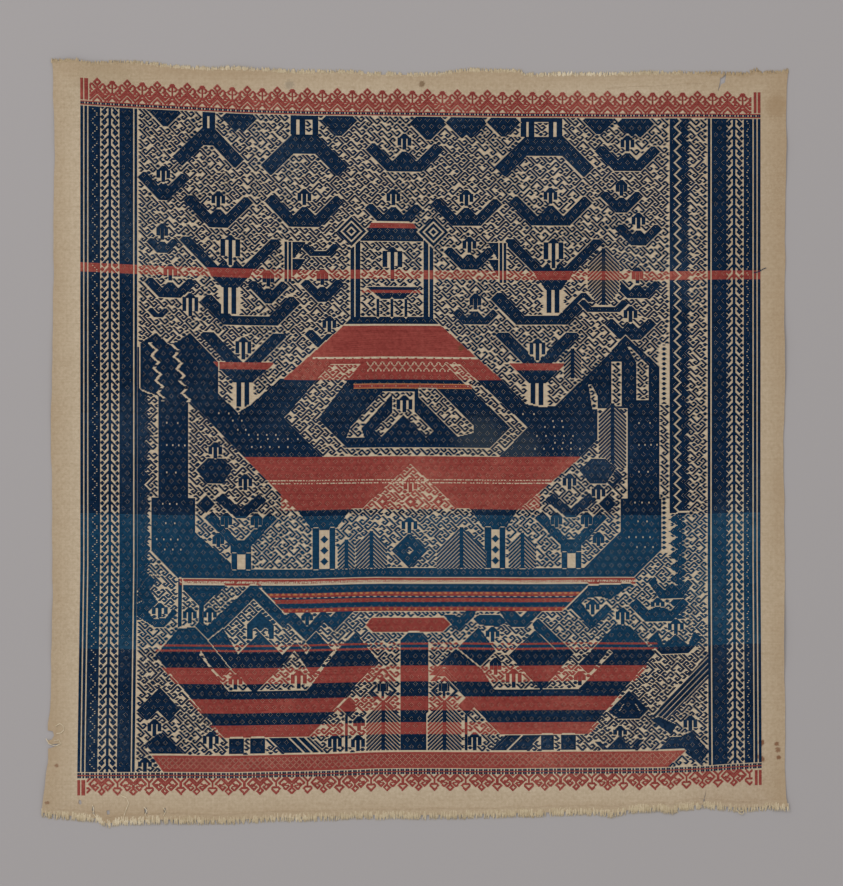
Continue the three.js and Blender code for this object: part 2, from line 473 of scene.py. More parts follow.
# centre, top pick, half length, depth, side thickness, with a figure
BOATS = [
    (-4, 27, 38, 28, 12, 1), (-245, 62, 25, 27, 10, 1), (-190, 83, 34, 31, 11, 1), (-104, 80, 39, 31, 12, 1),
    (-15, 88, 28, 18, 9, 1), (58, 82, 35, 27, 11, 1), (142, 79, 41, 29, 12, 1), (219, 28, 32, 25, 11, 1),
    (213, 74, 21, 21, 9, 1), (230, 107, 23, 21, 9, 1), (-246, 127, 15, 14, 7, 1), (-238, 166, 25, 19, 9, 1),
    (-88, 128, 18, 12, 7, 0), (-140, 166, 20, 22, 9, 1), (-86, 164, 21, 22, 9, 1), (61, 131, 25, 22, 9, 1),
    (67, 193, 22, 15, 8, 1), (229, 164, 22, 17, 8, 1), (-158, 181, 49, 29, 13, 0), (133, 176, 50, 32, 13, 0),
    (-79, 214, 24, 19, 9, 1), (222, 202, 25, 21, 10, 1), (-250, 196, 10, 9, 5, 0),
]
for c, top, half, depth, arm, manned in BOATS:
    lay(boat(c, top, half, depth, arm, bool(manned)))
    if manned:
        wide = 6 if half > 22 else 5
        draw(figure(c, int(top + depth - 1.9 * arm) - 15, wide, 12, 4))

print("cells set after the boats:", int(solid.sum()), "broad,", int(line.sum()), "narrow")

# %% [markdown]
# Two tall vessels stand below the fleet, each a V of two sides with a red bottom, a foot and two posts.
# Pennants on double poles and a leaf-shaped tree stand between them.

# %% Tall vessels and pennants
NEEDLES = 4         # picks from one pair of needles to the next

def fir(c, top, end, half):
    """A stem with slanting needles: cells where steps down less steps across fall in the first half of
    NEEDLES, inside a half width that grows with the steps down."""
    side, down = np.abs(C - c), R - top
    needles = ((down - side) % NEEDLES < NEEDLES // 2) & (side <= np.minimum(half, down + 1))
    return (down >= 0) & (R < end) & (needles | (side <= 1))

def vessel(c, top, half, neck, foot_end, post_end):
    """Tall V of two 45 degree sides with a figure in it, a red bottom, a foot and two posts below."""
    side, down = np.abs(C - c), R - top
    low = half - (neck - top)
    arms = (down >= 0) & (R < neck) & (side - down <= half - 6)
    arms &= (side + down <= half) & (side + down >= half - 12)
    tents = (R < neck) & (R >= neck - 8 + np.abs(side - 6)) & (side + down <= half)
    bottom = trapezoid(c, neck, neck + 9, low, low - 5)
    foot = trapezoid(c, neck + 9, foot_end, low - 6, 7)
    lay(arms)
    for m in (tents, bottom, foot):
        solid[m] = True
    plain[posts(foot_end, post_end, (c - 9, c + 10))] = True
    cut(posts(foot_end, post_end, (c - 9, c + 10)))
    line[posts(foot_end, post_end, (c - 6, c - 2), (c + 2, c + 6))] = True
    red[bottom] = True
    draw(figure(c, neck - 33, 9, 21, 9, 4))

vessel(-178, 124, 53, 154, 173, 199)
vessel(145, 122, 52, 154, 173, 196)
# two pennants on each double pole: their left and right column at the top, then at the lower tip
for c, pennant in ((-119, (4, 16, 4, 4)), (96, (-16, -6, -6, -6))):
    draw(posts(126, 166, (c - 4, c - 2), (c, c + 2)))
    for top in (126, 143):
        lay(slab(top, top + 17, *(c + column for column in pennant)), 1)
draw(fir(195, 131, 190, 15) & (np.abs(C - 195) <= (192 - R) * 0.7 + 2))
lay(boat(195, 183, 24, 12, 7, False))

print("narrow cells after the vessels:", int(line.sum()))

# %% [markdown]
# On the middle line stands a shrine: a lintel, double columns tied at their heads with square knots, a
# figure over a bowl, and steps. Below it the red deck begins.

# %% Shrine and deck
axis = -16
lintel = trapezoid(axis, 107, 112, 21, 24)
lay(lintel)
red[lintel] = True
lay(trapezoid(axis, 112, 125, 25, 33), 0)
for s in (-1, 1):
    for a, b in ((32, 36), (38, 41)):
        lo, hi = sorted((axis + s * a, axis + s * b))
        cut(grown(slab(122, 202, lo, hi), 1))
        line[slab(122, 202, lo, hi)] = True
    knot = axis + s * 41
    cut(diamond(knot, 115, 17))
    for half in (14, 8):
        line[diamond(knot, 115, half) & ~diamond(knot, 115, half - 3)] = True
    line[diamond(knot, 115, 2)] = True
lay(trapezoid(axis, 201, 210, 40, 49), 0)
draw(figure(axis, 131, 9, 20, 14, 4))
lay(trapezoid(axis, 171, 183, 25, 10))
red[slab(174, 177, axis - 30, axis + 30)] = True
draw(posts(183, 201, (axis - 15, axis - 13), (axis - 1, axis + 1), (axis + 13, axis + 15)))

deck = trapezoid(axis, 210, 264, 49, 110)
red[deck] = True
print("red cells so far:", int(red.sum()))

# %% [markdown]
# The two edges of the field differ: a sawtooth on the left, a zigzag band on the right. Two smaller
# vessels flank the deck.

# %% Edges and small vessels
draw(figure(-218, 180, 7, 18, 5, 3))
saw = np.abs((R - 6) % 14 - 7)
lay((C < -263 - saw + 6) & (R >= 235) & (R < 504), 1)
tooth = np.abs((R - 2) % 12 - 6) - 3
lay((C >= 262) & (C < 279 + tooth) & (R >= 0) & (R < 398), 2)
cut((np.abs(C - 269 - tooth) <= 1) & (R < 398))
lay((np.abs(C - 270 - 1.4 * tooth) <= 5) & (R >= 398) & (R < 505), 2)

def small_vessel(c, top, half, neck):
    """Smaller V with a red strip, a foot and two posts, and a figure in it."""
    side, down = np.abs(C - c), R - top
    low = half - (neck - top)
    arms = (down >= 0) & (R < neck) & (side - down <= half - 5)
    lay(arms & (side + down <= half) & (side + down >= half - 15))
    bottom = trapezoid(c, neck, neck + 7, low + 14, low + 8)
    solid[bottom] = True
    red[bottom] = True
    solid[trapezoid(c, neck + 7, neck + 20, low + 7, 8)] = True
    line[posts(neck + 18, neck + 44, (c - 6, c - 2), (c + 2, c + 6))] = True
    plain[posts(neck + 18, neck + 44, (c - 9, c + 10))] = True
    draw(figure(c, neck - 25, 7, 16, 6, 3))

for c, top, half in ((-165, 218, 45), (129, 216, 44)):
    small_vessel(c, top, half, 247)

print("broad cells beside the deck:", int(solid.sum()))

# %% [markdown]
# The great ship is one outline: necks that rise at both ends, a body, pillars, a keel, the red hull and
# two feet. It is laid in one piece so that no line of ground parts it.

# %% The great ship
hull = slab(341, 393, -163, 172, -111, 110)
# left neck with half of the body, left pillar with half of the keel, the same at the right, two feet
ship = polygon((-267, 231), (-252, 221), (-240, 231), (-231, 229), (-218, 220), (-190, 247), (-190, 279),
               (-170, 297), (-158, 290), (-127, 263), (0, 263), (0, 341), (-163, 341), (-220, 285),
               (-220, 300), (-249, 300), (-249, 283), (-267, 276))
ship |= polygon((-249, 283), (-220, 283), (-220, 383), (-213, 383), (-213, 417), (-170, 453), (0, 453),
                (0, 462), (-230, 462), (-256, 435), (-256, 383), (-249, 383))
ship |= polygon((0, 263), (92, 263), (118, 288), (133, 291), (147, 290), (197, 242), (217, 219), (251, 250),
                (251, 300), (220, 300), (220, 292), (189, 292), (189, 323), (172, 341), (0, 341))
ship |= polygon((220, 290), (251, 290), (251, 383), (253, 383), (253, 435), (225, 462), (0, 462), (0, 453),
                (177, 453), (213, 417), (213, 383), (220, 383))
ship |= polygon((-111, 393), (-57, 393), (-73, 414), (-95, 414))
ship |= polygon((62, 393), (110, 393), (97, 414), (77, 414))
lay(ship | hull | deck, 2)
red[hull] = True

print("cells of the ship:", int((ship | hull).sum()))

# %% [markdown]
# The long necks are opened up by wavering channels, and a ladder of small lozenges climbs beside each.

# %% Necks of the ship
waving = np.abs((R + 3) % 12 - 6) - 3       # columns, there and back every 12 picks
for c, r0, r1, lean in ((-256, 230, 288, 10), (-234, 231, 288, 13)):
    cut((np.abs(C - c - waving - lean * (R - r0) / (r1 - r0)) <= 2) & (R >= r0) & (R < r1))
cut(slab(245, 290, 203, 214))
cut(polygon((219, 230), (223, 230), (241, 250), (241, 284), (228, 284), (228, 246)))
cut(polygon((180, 268), (184, 268), (190, 280), (190, 293), (184, 293)))
cut(slab(250, 288, 251, 258))
draw(fir(204, 287, 352, 13), 1)
draw(diamond(204, 362, 9) & ~diamond(204, 362, 5), 1)
draw(fir(164, 232, 262, 8), 1)
for r0, r1, step in ((228, 288, 5), (386, 436, 5)):
    plain[slab(r0, r1, 252, 262)] = True
    line[slab(r0, r1, 254, 258) & (np.abs(C - 255.5) + np.abs(R % step - 2) <= 2)] = True

print("cells left of the ship's necks:", int((solid & ((C < -190) | (C > 190)) & ship).sum()))

# %% [markdown]
# The body holds a six-sided cabin inside a band of hooks. A beaded strip with orange edges and a crossed
# band of red lie above its door.

# %% Cabin
cut(polygon((-78, 248), (-47, 248), (-90, 303), (-60, 332), (92, 332), (92, 341), (-86, 341), (-124, 302)))
cut(polygon((36, 248), (52, 248), (120, 311), (92, 341), (70, 341), (82, 332), (102, 311)))
cut(polygon((-26, 276), (-13, 276), (-46, 313), (-43, 322), (-62, 322), (-58, 312)))
cut(polygon((10, 272), (28, 272), (66, 309), (66, 317), (50, 321), (44, 315), (10, 282)))
cut(polygon((-16, 276), (7, 276), (7, 296), (26, 316), (18, 322), (-4, 300), (-26, 322), (-34, 314),
            (-16, 298)))
draw(figure(-4, 280, 7, 14, 3), 1)
crossed = np.abs((C + 2) % 8 - 4)
cut(slab(246, 256, -42, 50) & (np.abs(crossed - np.abs(R - 251) * 0.7) < 1))
strip = slab(268, 273, -54, 64)
red |= strip
orange |= strip & ((R == 268) | (R == 272))
cut(strip & (R == 270) & ((C * 7) % 12 < 6))
pale |= deck & ((R == 241) | (R == 242) & (C % 9 < 7)) & (C > -96) & (C < 74)

print("orange cells:", int(orange.sum()), "white cells:", int(pale.sum()))

# %% [markdown]
# In the broadest forms the weaver lets single spots of ground through, in short rows, so that the floats
# stay short. White thread crosses the red hull, and a peak of bare ground parts it.

# %% Spots and the hull
# rows of spots: pick, first column, count and step
BODY_SPOTS = [
    (297, -190, 3, 10), (318, -160, 4, 9), (322, -151, 5, 10), (330, -157, 5, 9), (304, -176, 2, 9),
    (313, -171, 2, 8), (297, 114, 2, 11), (310, 136, 3, 9), (319, 128, 5, 9), (332, 126, 6, 9),
    (326, 146, 3, 8), (304, 144, 2, 9),
]
# the same for the two pillars, with columns counted from a pillar's left side
PILLAR_SPOTS = [
    (308, 7, 2, 11), (330, 7, 4, 6), (357, 7, 2, 9), (388, 3, 3, 7), (407, 6, 2, 9), (423, -3, 4, 7),
    (433, 5, 3, 8),
]
LEFT_PILLAR, RIGHT_PILLAR = -249, 223

def spot_row(r, first, count, step):
    """Open spots of two by two cells, step columns apart, on picks r and r + 1."""
    for k in range(count):
        cut(slab(r, r + 2, first + k * step, first + k * step + 2))

for spots_here in BODY_SPOTS:
    spot_row(*spots_here)
for r, first, count, step in PILLAR_SPOTS:
    spot_row(r, LEFT_PILLAR + first, count, step)
    spot_row(r - 2, RIGHT_PILLAR + first, count, step)

pale |= hull & ((R == 364) | (R == 367)) & ((C * 7 + R * 3) % 11 < 7)
cut((R >= 348 + np.abs(C - 2) * 0.92) & (R < 453) & (np.abs(C - 2) < 60 - (R > 413) * 8 + (R - 393) * 0.9))
red[(R < 394) & (R > 340) & (np.abs(C - 2) < 130)] = True
draw(figure(2, 362, 6, 12, 3), 1)
for c in (-26, 2, 30):
    draw(diamond(c, 386, 5) & ~diamond(c, 386, 2), 1)

print("red cells with the hull:", int(red.sum()))

# %% [markdown]
# Under the hull stand posts with ladders, a middle diamond, trees, and forked stands that hold figures.

# %% Under the hull
for near_post, far_post in ((-95, -78), (77, 92)):
    draw(posts(412, 453, (near_post, near_post + 6), (far_post, far_post + 5)), 1)
    mid = (near_post + far_post + 5) // 2
    plain[slab(414, 453, near_post, far_post + 5)] = True
    line[(np.abs(C - mid) + np.abs((R % 11) - 5) <= 3) & (R >= 416) & (R < 452)] = True
lay(diamond(1, 435, 17) & (R < 453), 1)
cut(diamond(1, 435, 4))
draw(figure(1, 402, 7, 12, 4), 1)
for c, half, top in ((-37, 15, 416), (-62, 8, 424), (53, 24, 412), (114, 13, 417)):
    draw(fir(c, top, 453, half), 1)
for c, wide in ((-167, 36), (163, 36)):
    lay(polygon((c - wide, 402), (c - wide + 8, 396), (c - 4, 424), (c + 4, 424), (c + wide - 8, 396),
                (c + wide, 402), (c + 10, 430), (c + 10, 438), (c - 10, 438), (c - 10, 430)), 1)
    draw(posts(437, 453, (c - 9, c - 4), (c + 5, c + 10)), 1)
    plain[slab(437, 453, c - 9, c + 10)] = True
    lay(polygon((c - 26, 384), (c - 18, 378), (c, 393), (c + 18, 378), (c + 26, 384), (c + 4, 402),
                (c - 4, 402)), 1)
    for dc in (-15, 15):
        draw(figure(c + dc, 397, 5, 12, 3, 3), 1)
# a six-sided form, a figure with its stem, a diamond and a lower figure beside each forked stand
for c, top, stem, diamond_at, lower in ((-193, 327, 4, -202, -190), (190, 369, 3, 199, 190)):
    lay(polygon((c - 18, 355), (c - 6, 343), (c + 7, 343), (c + 18, 352), (c + 8, 368), (c - 8, 368)), 1)
    draw(figure(c, top, 6, 12, stem, 3), 1)
    lay(diamond(diamond_at, 388, 8), 1)
    draw(figure(lower, 417, 5, 11, 3, 3), 1)
for c in (-163, 161):
    draw(figure(c, 358, 6, 12, 4), 1)

print("narrow cells under the hull:", int(line[R > 393].sum()))

# %% [markdown]
# Below the keel line comes the foot of the design. First a tiered deck, its sloping ends grown into
# crests, with red and orange lines along the tiers.

# %% Tiered deck
top_tier = slab(463, 469, -228, 227)
lay(top_tier, 0)
red[top_tier] = True
pale |= slab(465, 467, -228, 227) & ((C * 5 + R * 7) % 9 < 5)
tiers = polygon((-149, 469), (180, 469), (154, 496), (-122, 496))
for a, b in ((477, 481), (483, 487), (492, 496)):
    red[slab(a, b, -150, 190) & tiers] = True
orange |= slab(477, 479, -150, 190) & (C % 6 < 3)
orange |= slab(493, 495, -150, 190) & (C % 7 < 2)
crests = polygon((-225, 469), (-182, 469), (-204, 489), (-204, 508), (-208, 508), (-208, 489), (-225, 473))
crests |= polygon((-208, 505), (-200, 509), (-157, 469), (-151, 469), (-122, 499), (-117, 496),
                  (-113, 496), (-100, 511), (-87, 496), (-82, 496), (-77, 502), (-72, 496), (-55, 496),
                  (-73, 515), (-84, 506), (-101, 524), (-119, 506), (-124, 511), (-154, 482), (-184, 511),
                  (-199, 523), (-212, 510))
crests |= polygon((36, 500), (46, 500), (52, 503), (58, 496), (68, 496), (66, 502), (50, 516), (42, 508))
crests |= polygon((65, 504), (72, 500), (92, 500), (98, 506), (92, 496), (107, 496), (113, 503), (120, 496),
                  (134, 496), (130, 500), (116, 512), (104, 512), (98, 507), (90, 512), (72, 510))
crests |= polygon((152, 501), (178, 474), (180, 471), (224, 469), (202, 485), (192, 482), (180, 483),
                  (173, 488), (184, 503), (198, 490), (204, 495), (184, 514), (163, 494), (157, 496))
lay(tiers | crests, 2)
cut(bent(1.2, (-149, 469), (-122, 498)))
cut(bent(1.2, (153, 499), (179, 472)))
cut(tiers & (R == 481) & (C % 7 < 4))
lay(slab(463, 512, -229, -226), 2)
beam = polygon((-36, 503), (36, 503), (42, 510), (34, 517), (-34, 517), (-41, 510))
lay(beam, 2)
red |= beam

print("red cells with the tiers:", int(red.sum()))

# %% [markdown]
# Two striped boats fill the foot, each opened by slanting channels, with a post between them.

# %% Striped boats
# first the outline of the left boat, then that of the right one
boats = polygon((-251, 539), (-228, 512), (-212, 511), (-199, 524), (-184, 512), (-179, 521), (-169, 538),
                (-147, 516), (-125, 538), (-112, 526), (-106, 531), (-101, 539), (-96, 531), (-101, 526),
                (-91, 516), (-75, 535), (-69, 533), (-52, 518), (-30, 546), (-98, 620), (-182, 620))
boats |= polygon((22, 561), (49, 534), (71, 513), (88, 537), (101, 540), (127, 516), (125, 509),
                 (130, 503), (165, 539), (171, 550), (206, 512), (213, 509), (222, 512), (246, 539),
                 (177, 620), (92, 620), (38, 562))
lay(boats, 2)
lay(polygon((-7, 526), (0, 518), (12, 518), (20, 526), (20, 597), (18, 600), (18, 638), (-7, 638)), 2)
CHANNELS = [
    [(-206, 533), (-199, 545), (-186, 560), (-176, 551), (-165, 562), (-155, 574), (-179, 574), (-208, 538)],
    [(-150, 574), (-119, 541), (-113, 533), (-106, 543), (-95, 560), (-76, 536), (-69, 533), (-98, 572),
     (-101, 574)],
    [(72, 552), (88, 536), (101, 540), (118, 559), (132, 575), (86, 575)],
    [(134, 575), (165, 539), (171, 550), (180, 560), (196, 541), (201, 534), (205, 538), (171, 575)],
]
for channel in CHANNELS:
    cut(polygon(*channel))
cut(bent(1, (-199, 524), (-176, 552)) | bent(1.5, (49, 534), (74, 554)) | bent(0.8, (126, 514), (153, 540)))
# figures that stand in and above the boats: centre, top pick, half width, height
BOAT_FIGURES = [
    (-172, 557, 6, 10), (-109, 554, 7, 13), (87, 543, 5, 12), (105, 554, 7, 14), (171, 557, 5, 9),
    (-218, 491, 6, 11), (-198, 491, 6, 10), (-101, 495, 5, 9), (84, 512, 6, 10), (184, 485, 6, 10),
    (-248, 487, 7, 11),
]
for c, r, wide, tall in BOAT_FIGURES:
    draw(figure(c, r, wide, tall, 5, 3), 1)
draw(polygon((-147, 495), (-134, 508), (-134, 522), (-138, 522), (-139, 512), (-143, 510), (-147, 515),
             (-151, 510), (-155, 512), (-155, 522), (-160, 522), (-160, 508)), 1)
striped = polygon((-253, 520), (249, 520), (249, 541), (180, 622), (-184, 622), (-253, 541))
for a, b in ((528, 530), (533, 535), (551, 567), (582, 596), (608, 620)):
    red |= (R >= a) & (R < b) & striped

print("red cells with the boats:", int(red.sum()))

# %% [markdown]
# Two firs stand beside the post, each with a forked crown and a hollow diamond over its needles. Small
# figures fill the corners of the foot.

# %% Firs and small figures of the foot
for trunk in (-25, 36):
    draw(bent(1.3, (trunk, 554), (trunk - 12, 567)) | bent(1.3, (trunk, 554), (trunk + 12, 567)), 1)
    draw(diamond(trunk, 576, 13) & ~diamond(trunk, 576, 10), 1)
    arms = slab(569, 577, trunk - 5, trunk + 5) & (np.abs(C - trunk) != 3)
    draw(slab(569, 584, trunk - 1, trunk + 1) | arms, 1)
    draw(fir(trunk, 586, 637, 16), 1)
for c in (-61, 58):
    draw(slab(597, 638, c - 1, c + 1), 1)
# centre, top pick, half width, height
FOOT_FIGURES = [
    (-73, 618, 6, 13), (-50, 620, 6, 12), (-49, 601, 5, 10), (66, 618, 6, 13), (-196, 614, 7, 12),
    (-252, 602, 6, 12), (-261, 640, 6, 9), (211, 612, 6, 9), (281, 603, 6, 12), (214, 493, 6, 12),
    (249, 483, 6, 9), (267, 505, 7, 11),
]
for c, r, wide, tall in FOOT_FIGURES:
    draw(figure(c, r, wide, tall, 5, 3), 1)
for c in (-60, 58):
    draw(diamond(c, 591, 8), 1)

print("narrow cells of the foot:", int(line[R > 462].sum()))

# %% [markdown]
# Blocks and slanting lines stand under the boats. The four corners hold notched diamonds, boats, chevrons
# and a fan of slanting lines, and a red bar closes the field.

# %% Corners and closing bar
for c0, c1 in ((-177, -163), (-156, -142), (133, 145), (153, 167)):
    lay(slab(621, 638, c0, c1), 2)
slants = polygon((-137, 621), (-98, 621), (-81, 638), (-120, 638))
slants |= polygon((95, 621), (132, 621), (117, 638), (78, 638))
lay(slants, 1)
cut(bent(1, (-118, 621), (-101, 638)) | bent(1, (-110, 621), (-93, 638)) | bent(1, (-102, 621), (-85, 638)))
cut(bent(1, (96, 621), (79, 638)) | bent(1, (114, 621), (97, 638)) | bent(0.8, (101, 621), (84, 638)))

lay(polygon((-246, 571), (-227, 592), (-237, 604), (-248, 593), (-259, 604), (-269, 593)), 2)
lay(polygon((221, 577), (239, 596), (231, 605), (211, 605), (200, 598)), 2)
cut(bent(0.8, (215, 590), (211, 597)) | bent(0.8, (227, 590), (231, 597)))
lay(polygon((-248, 617), (-243, 615), (-221, 638), (-251, 638), (-260, 626)), 1)
# the crest at the left edge and three chevrons at the right one
lay(polygon((-258, 460), (-251, 465), (-258, 474), (-250, 486), (-259, 496), (-254, 503), (-241, 502),
            (-234, 492), (-230, 496), (-243, 511), (-252, 511), (-270, 500), (-270, 488), (-264, 485),
            (-270, 478), (-264, 467)), 1)
lay(polygon((241, 468), (247, 462), (250, 470), (257, 476), (264, 468), (272, 476), (280, 465),
            (284, 470), (274, 484), (252, 484)), 1)
lay(polygon((221, 490), (229, 484), (240, 496), (248, 492), (256, 493), (263, 497), (275, 485),
            (281, 490), (263, 507), (238, 507)), 1)
lay(polygon((240, 526), (249, 517), (255, 531), (267, 521), (280, 532), (286, 518), (293, 525),
            (280, 540), (254, 540)), 1)
fan = polygon((241, 606), (252, 612), (300, 566), (300, 541))
lay(fan & ((C + R + 1) % 6 < 4), 1)
draw(polygon((242, 606), (250, 603), (268, 612), (262, 621)), 1)
tent_sides = bent(2.5, (189, 628), (199, 638)) | bent(2.5, (233, 626), (222, 638))
lay(polygon((211, 623), (226, 638), (196, 638)) | tent_sides, 1)
lay(polygon((249, 638), (262, 624), (272, 624), (283, 619), (300, 640), (291, 652), (276, 640)), 1)
bar = polygon((-253, 638), (277, 638), (258, 654), (-242, 654))
lay(bar, 2)
red[bar] = True
print("chart done:", int(solid.sum()), "broad cells,", int(line.sum()), "narrow,", int(red.sum()), "red")

# %% [markdown]
# All ground between the forms is filled with small hooks that lie along the diagonals. They are laid on a
# grid turned by 45 degrees: each motif is tried in every turn and kept where it touches no other ink.

# %% Hook motifs
HOOKS = [           # rows of each motif, parted by spaces
    "#######.. #.....#.. #....##.. #........ #.##..... #..#..... ####.....",
    "#######. #.....#. #....##. #....... #....... #.##.... #..#.... ####....",
    "####... #..#... ##.#... ...#... ...#... ...#.## ...#..# ...####",
    "####... #..#... ##.#... ...#... ...#... ...#... ...#.## ...#..# ...####",
    "#### #..# ##.# ...# ...# ...# ...# ...#",
    "#### #..# ##.# ...# ...# ##.# #..# ####",
    "#### #..# ##.# ...# ...# ...# ...#",
    "####... #..#... ##.#... ...#.## ...#..# ...####",
    "#### #..# ##.# ...# ...# ...#",
    "#### #..# ##.# ...# ...#",
    "#### #..# ##.# ...#",
    "#### #..# ##.#",
    "#### #..# #...",
    "### #.# #.. #..",
    "### #.# #..",
    "## ## ##",
    "## ##",
    "## #.",
    "##",
]
CHANCE = [0.35, 0.35, 0.4, 0.4, 0.25, 0.3, 0.4, 0.7, 0.7, 0.8, 0.9, 1, 0.8, 0.5, 1, 0.2, 1, 0.4, 0.25]

def turns(motif):
    """The different arrays that a motif gives when it is turned four ways and mirrored."""
    rows = [row.rstrip(".") for row in motif.split()]
    wide = max(len(row) for row in rows)
    base = np.array([[mark == "#" for mark in row.ljust(wide, ".")] for row in rows])
    found = []
    for side in (base, base[:, ::-1]):
        for k in range(4):
            turned = np.rot90(side, k)
            if not any(turned.shape == o.shape and (turned == o).all() for o in found):
                found.append(turned)
    return found

print("motifs:", len(HOOKS), "in", sum(len(turns(motif)) for motif in HOOKS), "turns")

# %% [markdown]
# The longest motifs come first and are skipped by chance, so that no two stretches of the ground look the
# same. What is left over is filled with shorter and shorter ones.

# %% Filling the ground
UNIT = 2            # cells of the chart to one cell of the turned grid
PAD = 10            # empty cells round the turned grid, more than the longest motif
SEED = 3

def hook_library(across):
    """For each motif the ways that it can be turned, and its chance. A way is two lists of steps in a grid
    this many cells wide: the motif's own cells, and all cells that touch them."""
    library = []
    for motif, chance in zip(HOOKS, CHANCE):
        ways = []
        for m in turns(motif):
            ys, xs = np.nonzero(m)
            xs = xs - np.flatnonzero(m[0])[0]
            own = (ys * across + xs).tolist()
            ring = sorted({o + dy * across + dx for o in own for dy in (-1, 0, 1) for dx in (-1, 0, 1)})
            ways.append((own, ring))
        library.append((ways, chance))
    return library

def first_fit(start, library, near, draws):
    """The way of the first drawn motif that touches nothing when it is laid down from this cell, or None."""
    for ways, chance in library:
        if draws.random() > chance:
            continue
        for k in draws.permutation(len(ways)):
            if not any(near[start + o] for o in ways[k][0]):
                return ways[k]
    return None

def fill_hooks(free, seed):
    """Hooks on the free cells. Cell r, c of the chart lies in cell (c + r) / UNIT, (c - r) / UNIT of the
    turned grid, rounded down. The cells are walked in order, and each takes the first motif that fits."""
    draws = np.random.default_rng(seed)
    rows, cols = free.shape
    r, c = np.mgrid[0:rows, 0:cols]
    p = (c + r) // UNIT
    q = (c - r + UNIT * (rows // UNIT + 1)) // UNIT
    across = int(q.max()) + 1 + 2 * PAD
    key = (p + PAD) * across + q + PAD
    size = (int(p.max()) + 1 + 2 * PAD) * across
    cells = np.bincount(key.ravel(), minlength=size)
    clear = np.bincount(key.ravel(), weights=free.ravel(), minlength=size)
    shut = ~((cells > 1) & (clear == cells))
    ink = [False] * size
    near = shut.tolist()
    library = hook_library(across)
    for start in np.flatnonzero(~shut).tolist():
        fit = None if near[start] else first_fit(start, library, near, draws)
        if fit:
            for o in fit[0]:
                ink[start + o] = True
            for o in fit[1]:
                near[start + o] = True
    return np.array(ink)[key] & free

in_field = (C >= FIELD_LEFT) & (C < FIELD_RIGHT)
in_picks = (R >= 0) & (R < PICKS)
field = in_field & in_picks
solid &= field
line &= field
forms = solid | line
free = field & ~grown(forms | plain, 1)
free &= (C > FIELD_LEFT) & (C < FIELD_RIGHT - 1)
hooks = fill_hooks(free, SEED)
print("hooks cover", round(float(hooks.sum() / free.sum()), 2), "of the free ground")

# %% [markdown]
# Down each side run thin stripes, two broad bands and a vine between them. Across both ends run a line of
# small squares and a red border in which a diamond and an arrow take turns. Vine and border are made of
# thin strokes.

# %% Side bands
def strokes(x, y, lines, half):
    """Cells whose middle lies within half a stroke's width of one of the polylines: the distance to each
    piece is taken at the nearest share of its length, held between 0 and 1."""
    near = np.zeros(x.shape, bool)
    for line_points in lines:
        for (x0, y0), (x1, y1) in zip(line_points, line_points[1:]):
            dx, dy = x1 - x0, y1 - y0
            t = np.clip(((x - x0) * dx + (y - y0) * dy) / (dx * dx + dy * dy), 0, 1)
            near |= np.hypot(x - x0 - t * dx, y - y0 - t * dy) <= half
    return near

def fold(x, half):
    """x folded back and forth between 0 and half, so that a motif repeats mirrored on both axes."""
    return np.abs((x + half) % (2 * half) - half)

# columns from the selvedge inward: two stripes, outer band, middle of the vine, inner band, stripe
BANDS = [(-327, -325, -323, -321, -319, -308, -298, -288, -275, -273, -271),
         (352, 350, 348, 346, 344, 336, 326, 318, 304, 302, 300)]
VINE_REPEAT = 10        # picks
VINE_HALF = 10          # columns to each side of its middle
VINE_STROKE = 0.85      # half width of a stroke, in cells
woven_bands = empty()
vine = empty()
vine_arm = [[(0, 0), (7.3, 6.8), (5.4, 8.7), (3.4, 7.2), (4.4, 5.8)]]
for edge in BANDS:
    for a, b in ((0, 1), (2, 3), (4, 5), (7, 8), (9, 10)):
        lo, hi = sorted((edge[a], edge[b]))
        woven_bands |= in_picks & (C >= lo) & (C < hi)
    across = np.abs(C + 0.5 - edge[6])
    down = (R + 0.5 + 2) % VINE_REPEAT
    inside = in_picks & (across < VINE_HALF)
    arms = strokes(across, down, vine_arm, VINE_STROKE)
    arms |= strokes(across, down + VINE_REPEAT, vine_arm, VINE_STROKE)
    dots = np.abs(across - 7.7) + np.abs(down - 2.2) <= 2.0
    vine |= inside & ((across < 1) | arms | dots)

print("cells in bands and vines:", int(woven_bands.sum() + vine.sum()))

# %% [markdown]
# The border at each end is drawn once, as half a repeat from the axis of a diamond to the axis of an arrow,
# and folded back and forth along the cloth.

# %% End borders
DRAWN = 16              # width of the drawn half repeat
PITCH_UP, PITCH_DOWN = 15, 15.7     # columns that it takes in the upper and in the lower border
TIP_UP, TIP_DOWN = -10.5, 42        # column of one diamond in each
STROKE_UP, STROKE_DOWN = 0.82, 0.68 # half width of a stroke, in cells
BORDER_LEFT, BORDER_RIGHT = -318, 343       # columns between which the borders run
DOWN_FROM = 660         # pick on which the lower border begins
border_up = [
    [(0, 0), (3, 3), (0, 6), (-3, 3), (0, 0)], [(0, 6), (0, 10)],
    [(0, 9.5), (8, 17), (12.8, 13), (9.6, 10), (7.2, 12.2), (8.8, 13.6)],
    [(2.4, 8.4), (5.6, 4.4), (8.8, 7.2), (5.6, 10.6)],
    [(0, 13.2), (8.4, 20.8), (16, 13.6)], [(0, 17), (4.4, 21)], [(16, 17.4), (11.8, 21)],
    [(16, 1.4), (16, 14)], [(16, 1.4), (11.2, 6.4), (13.2, 8.6)],
]
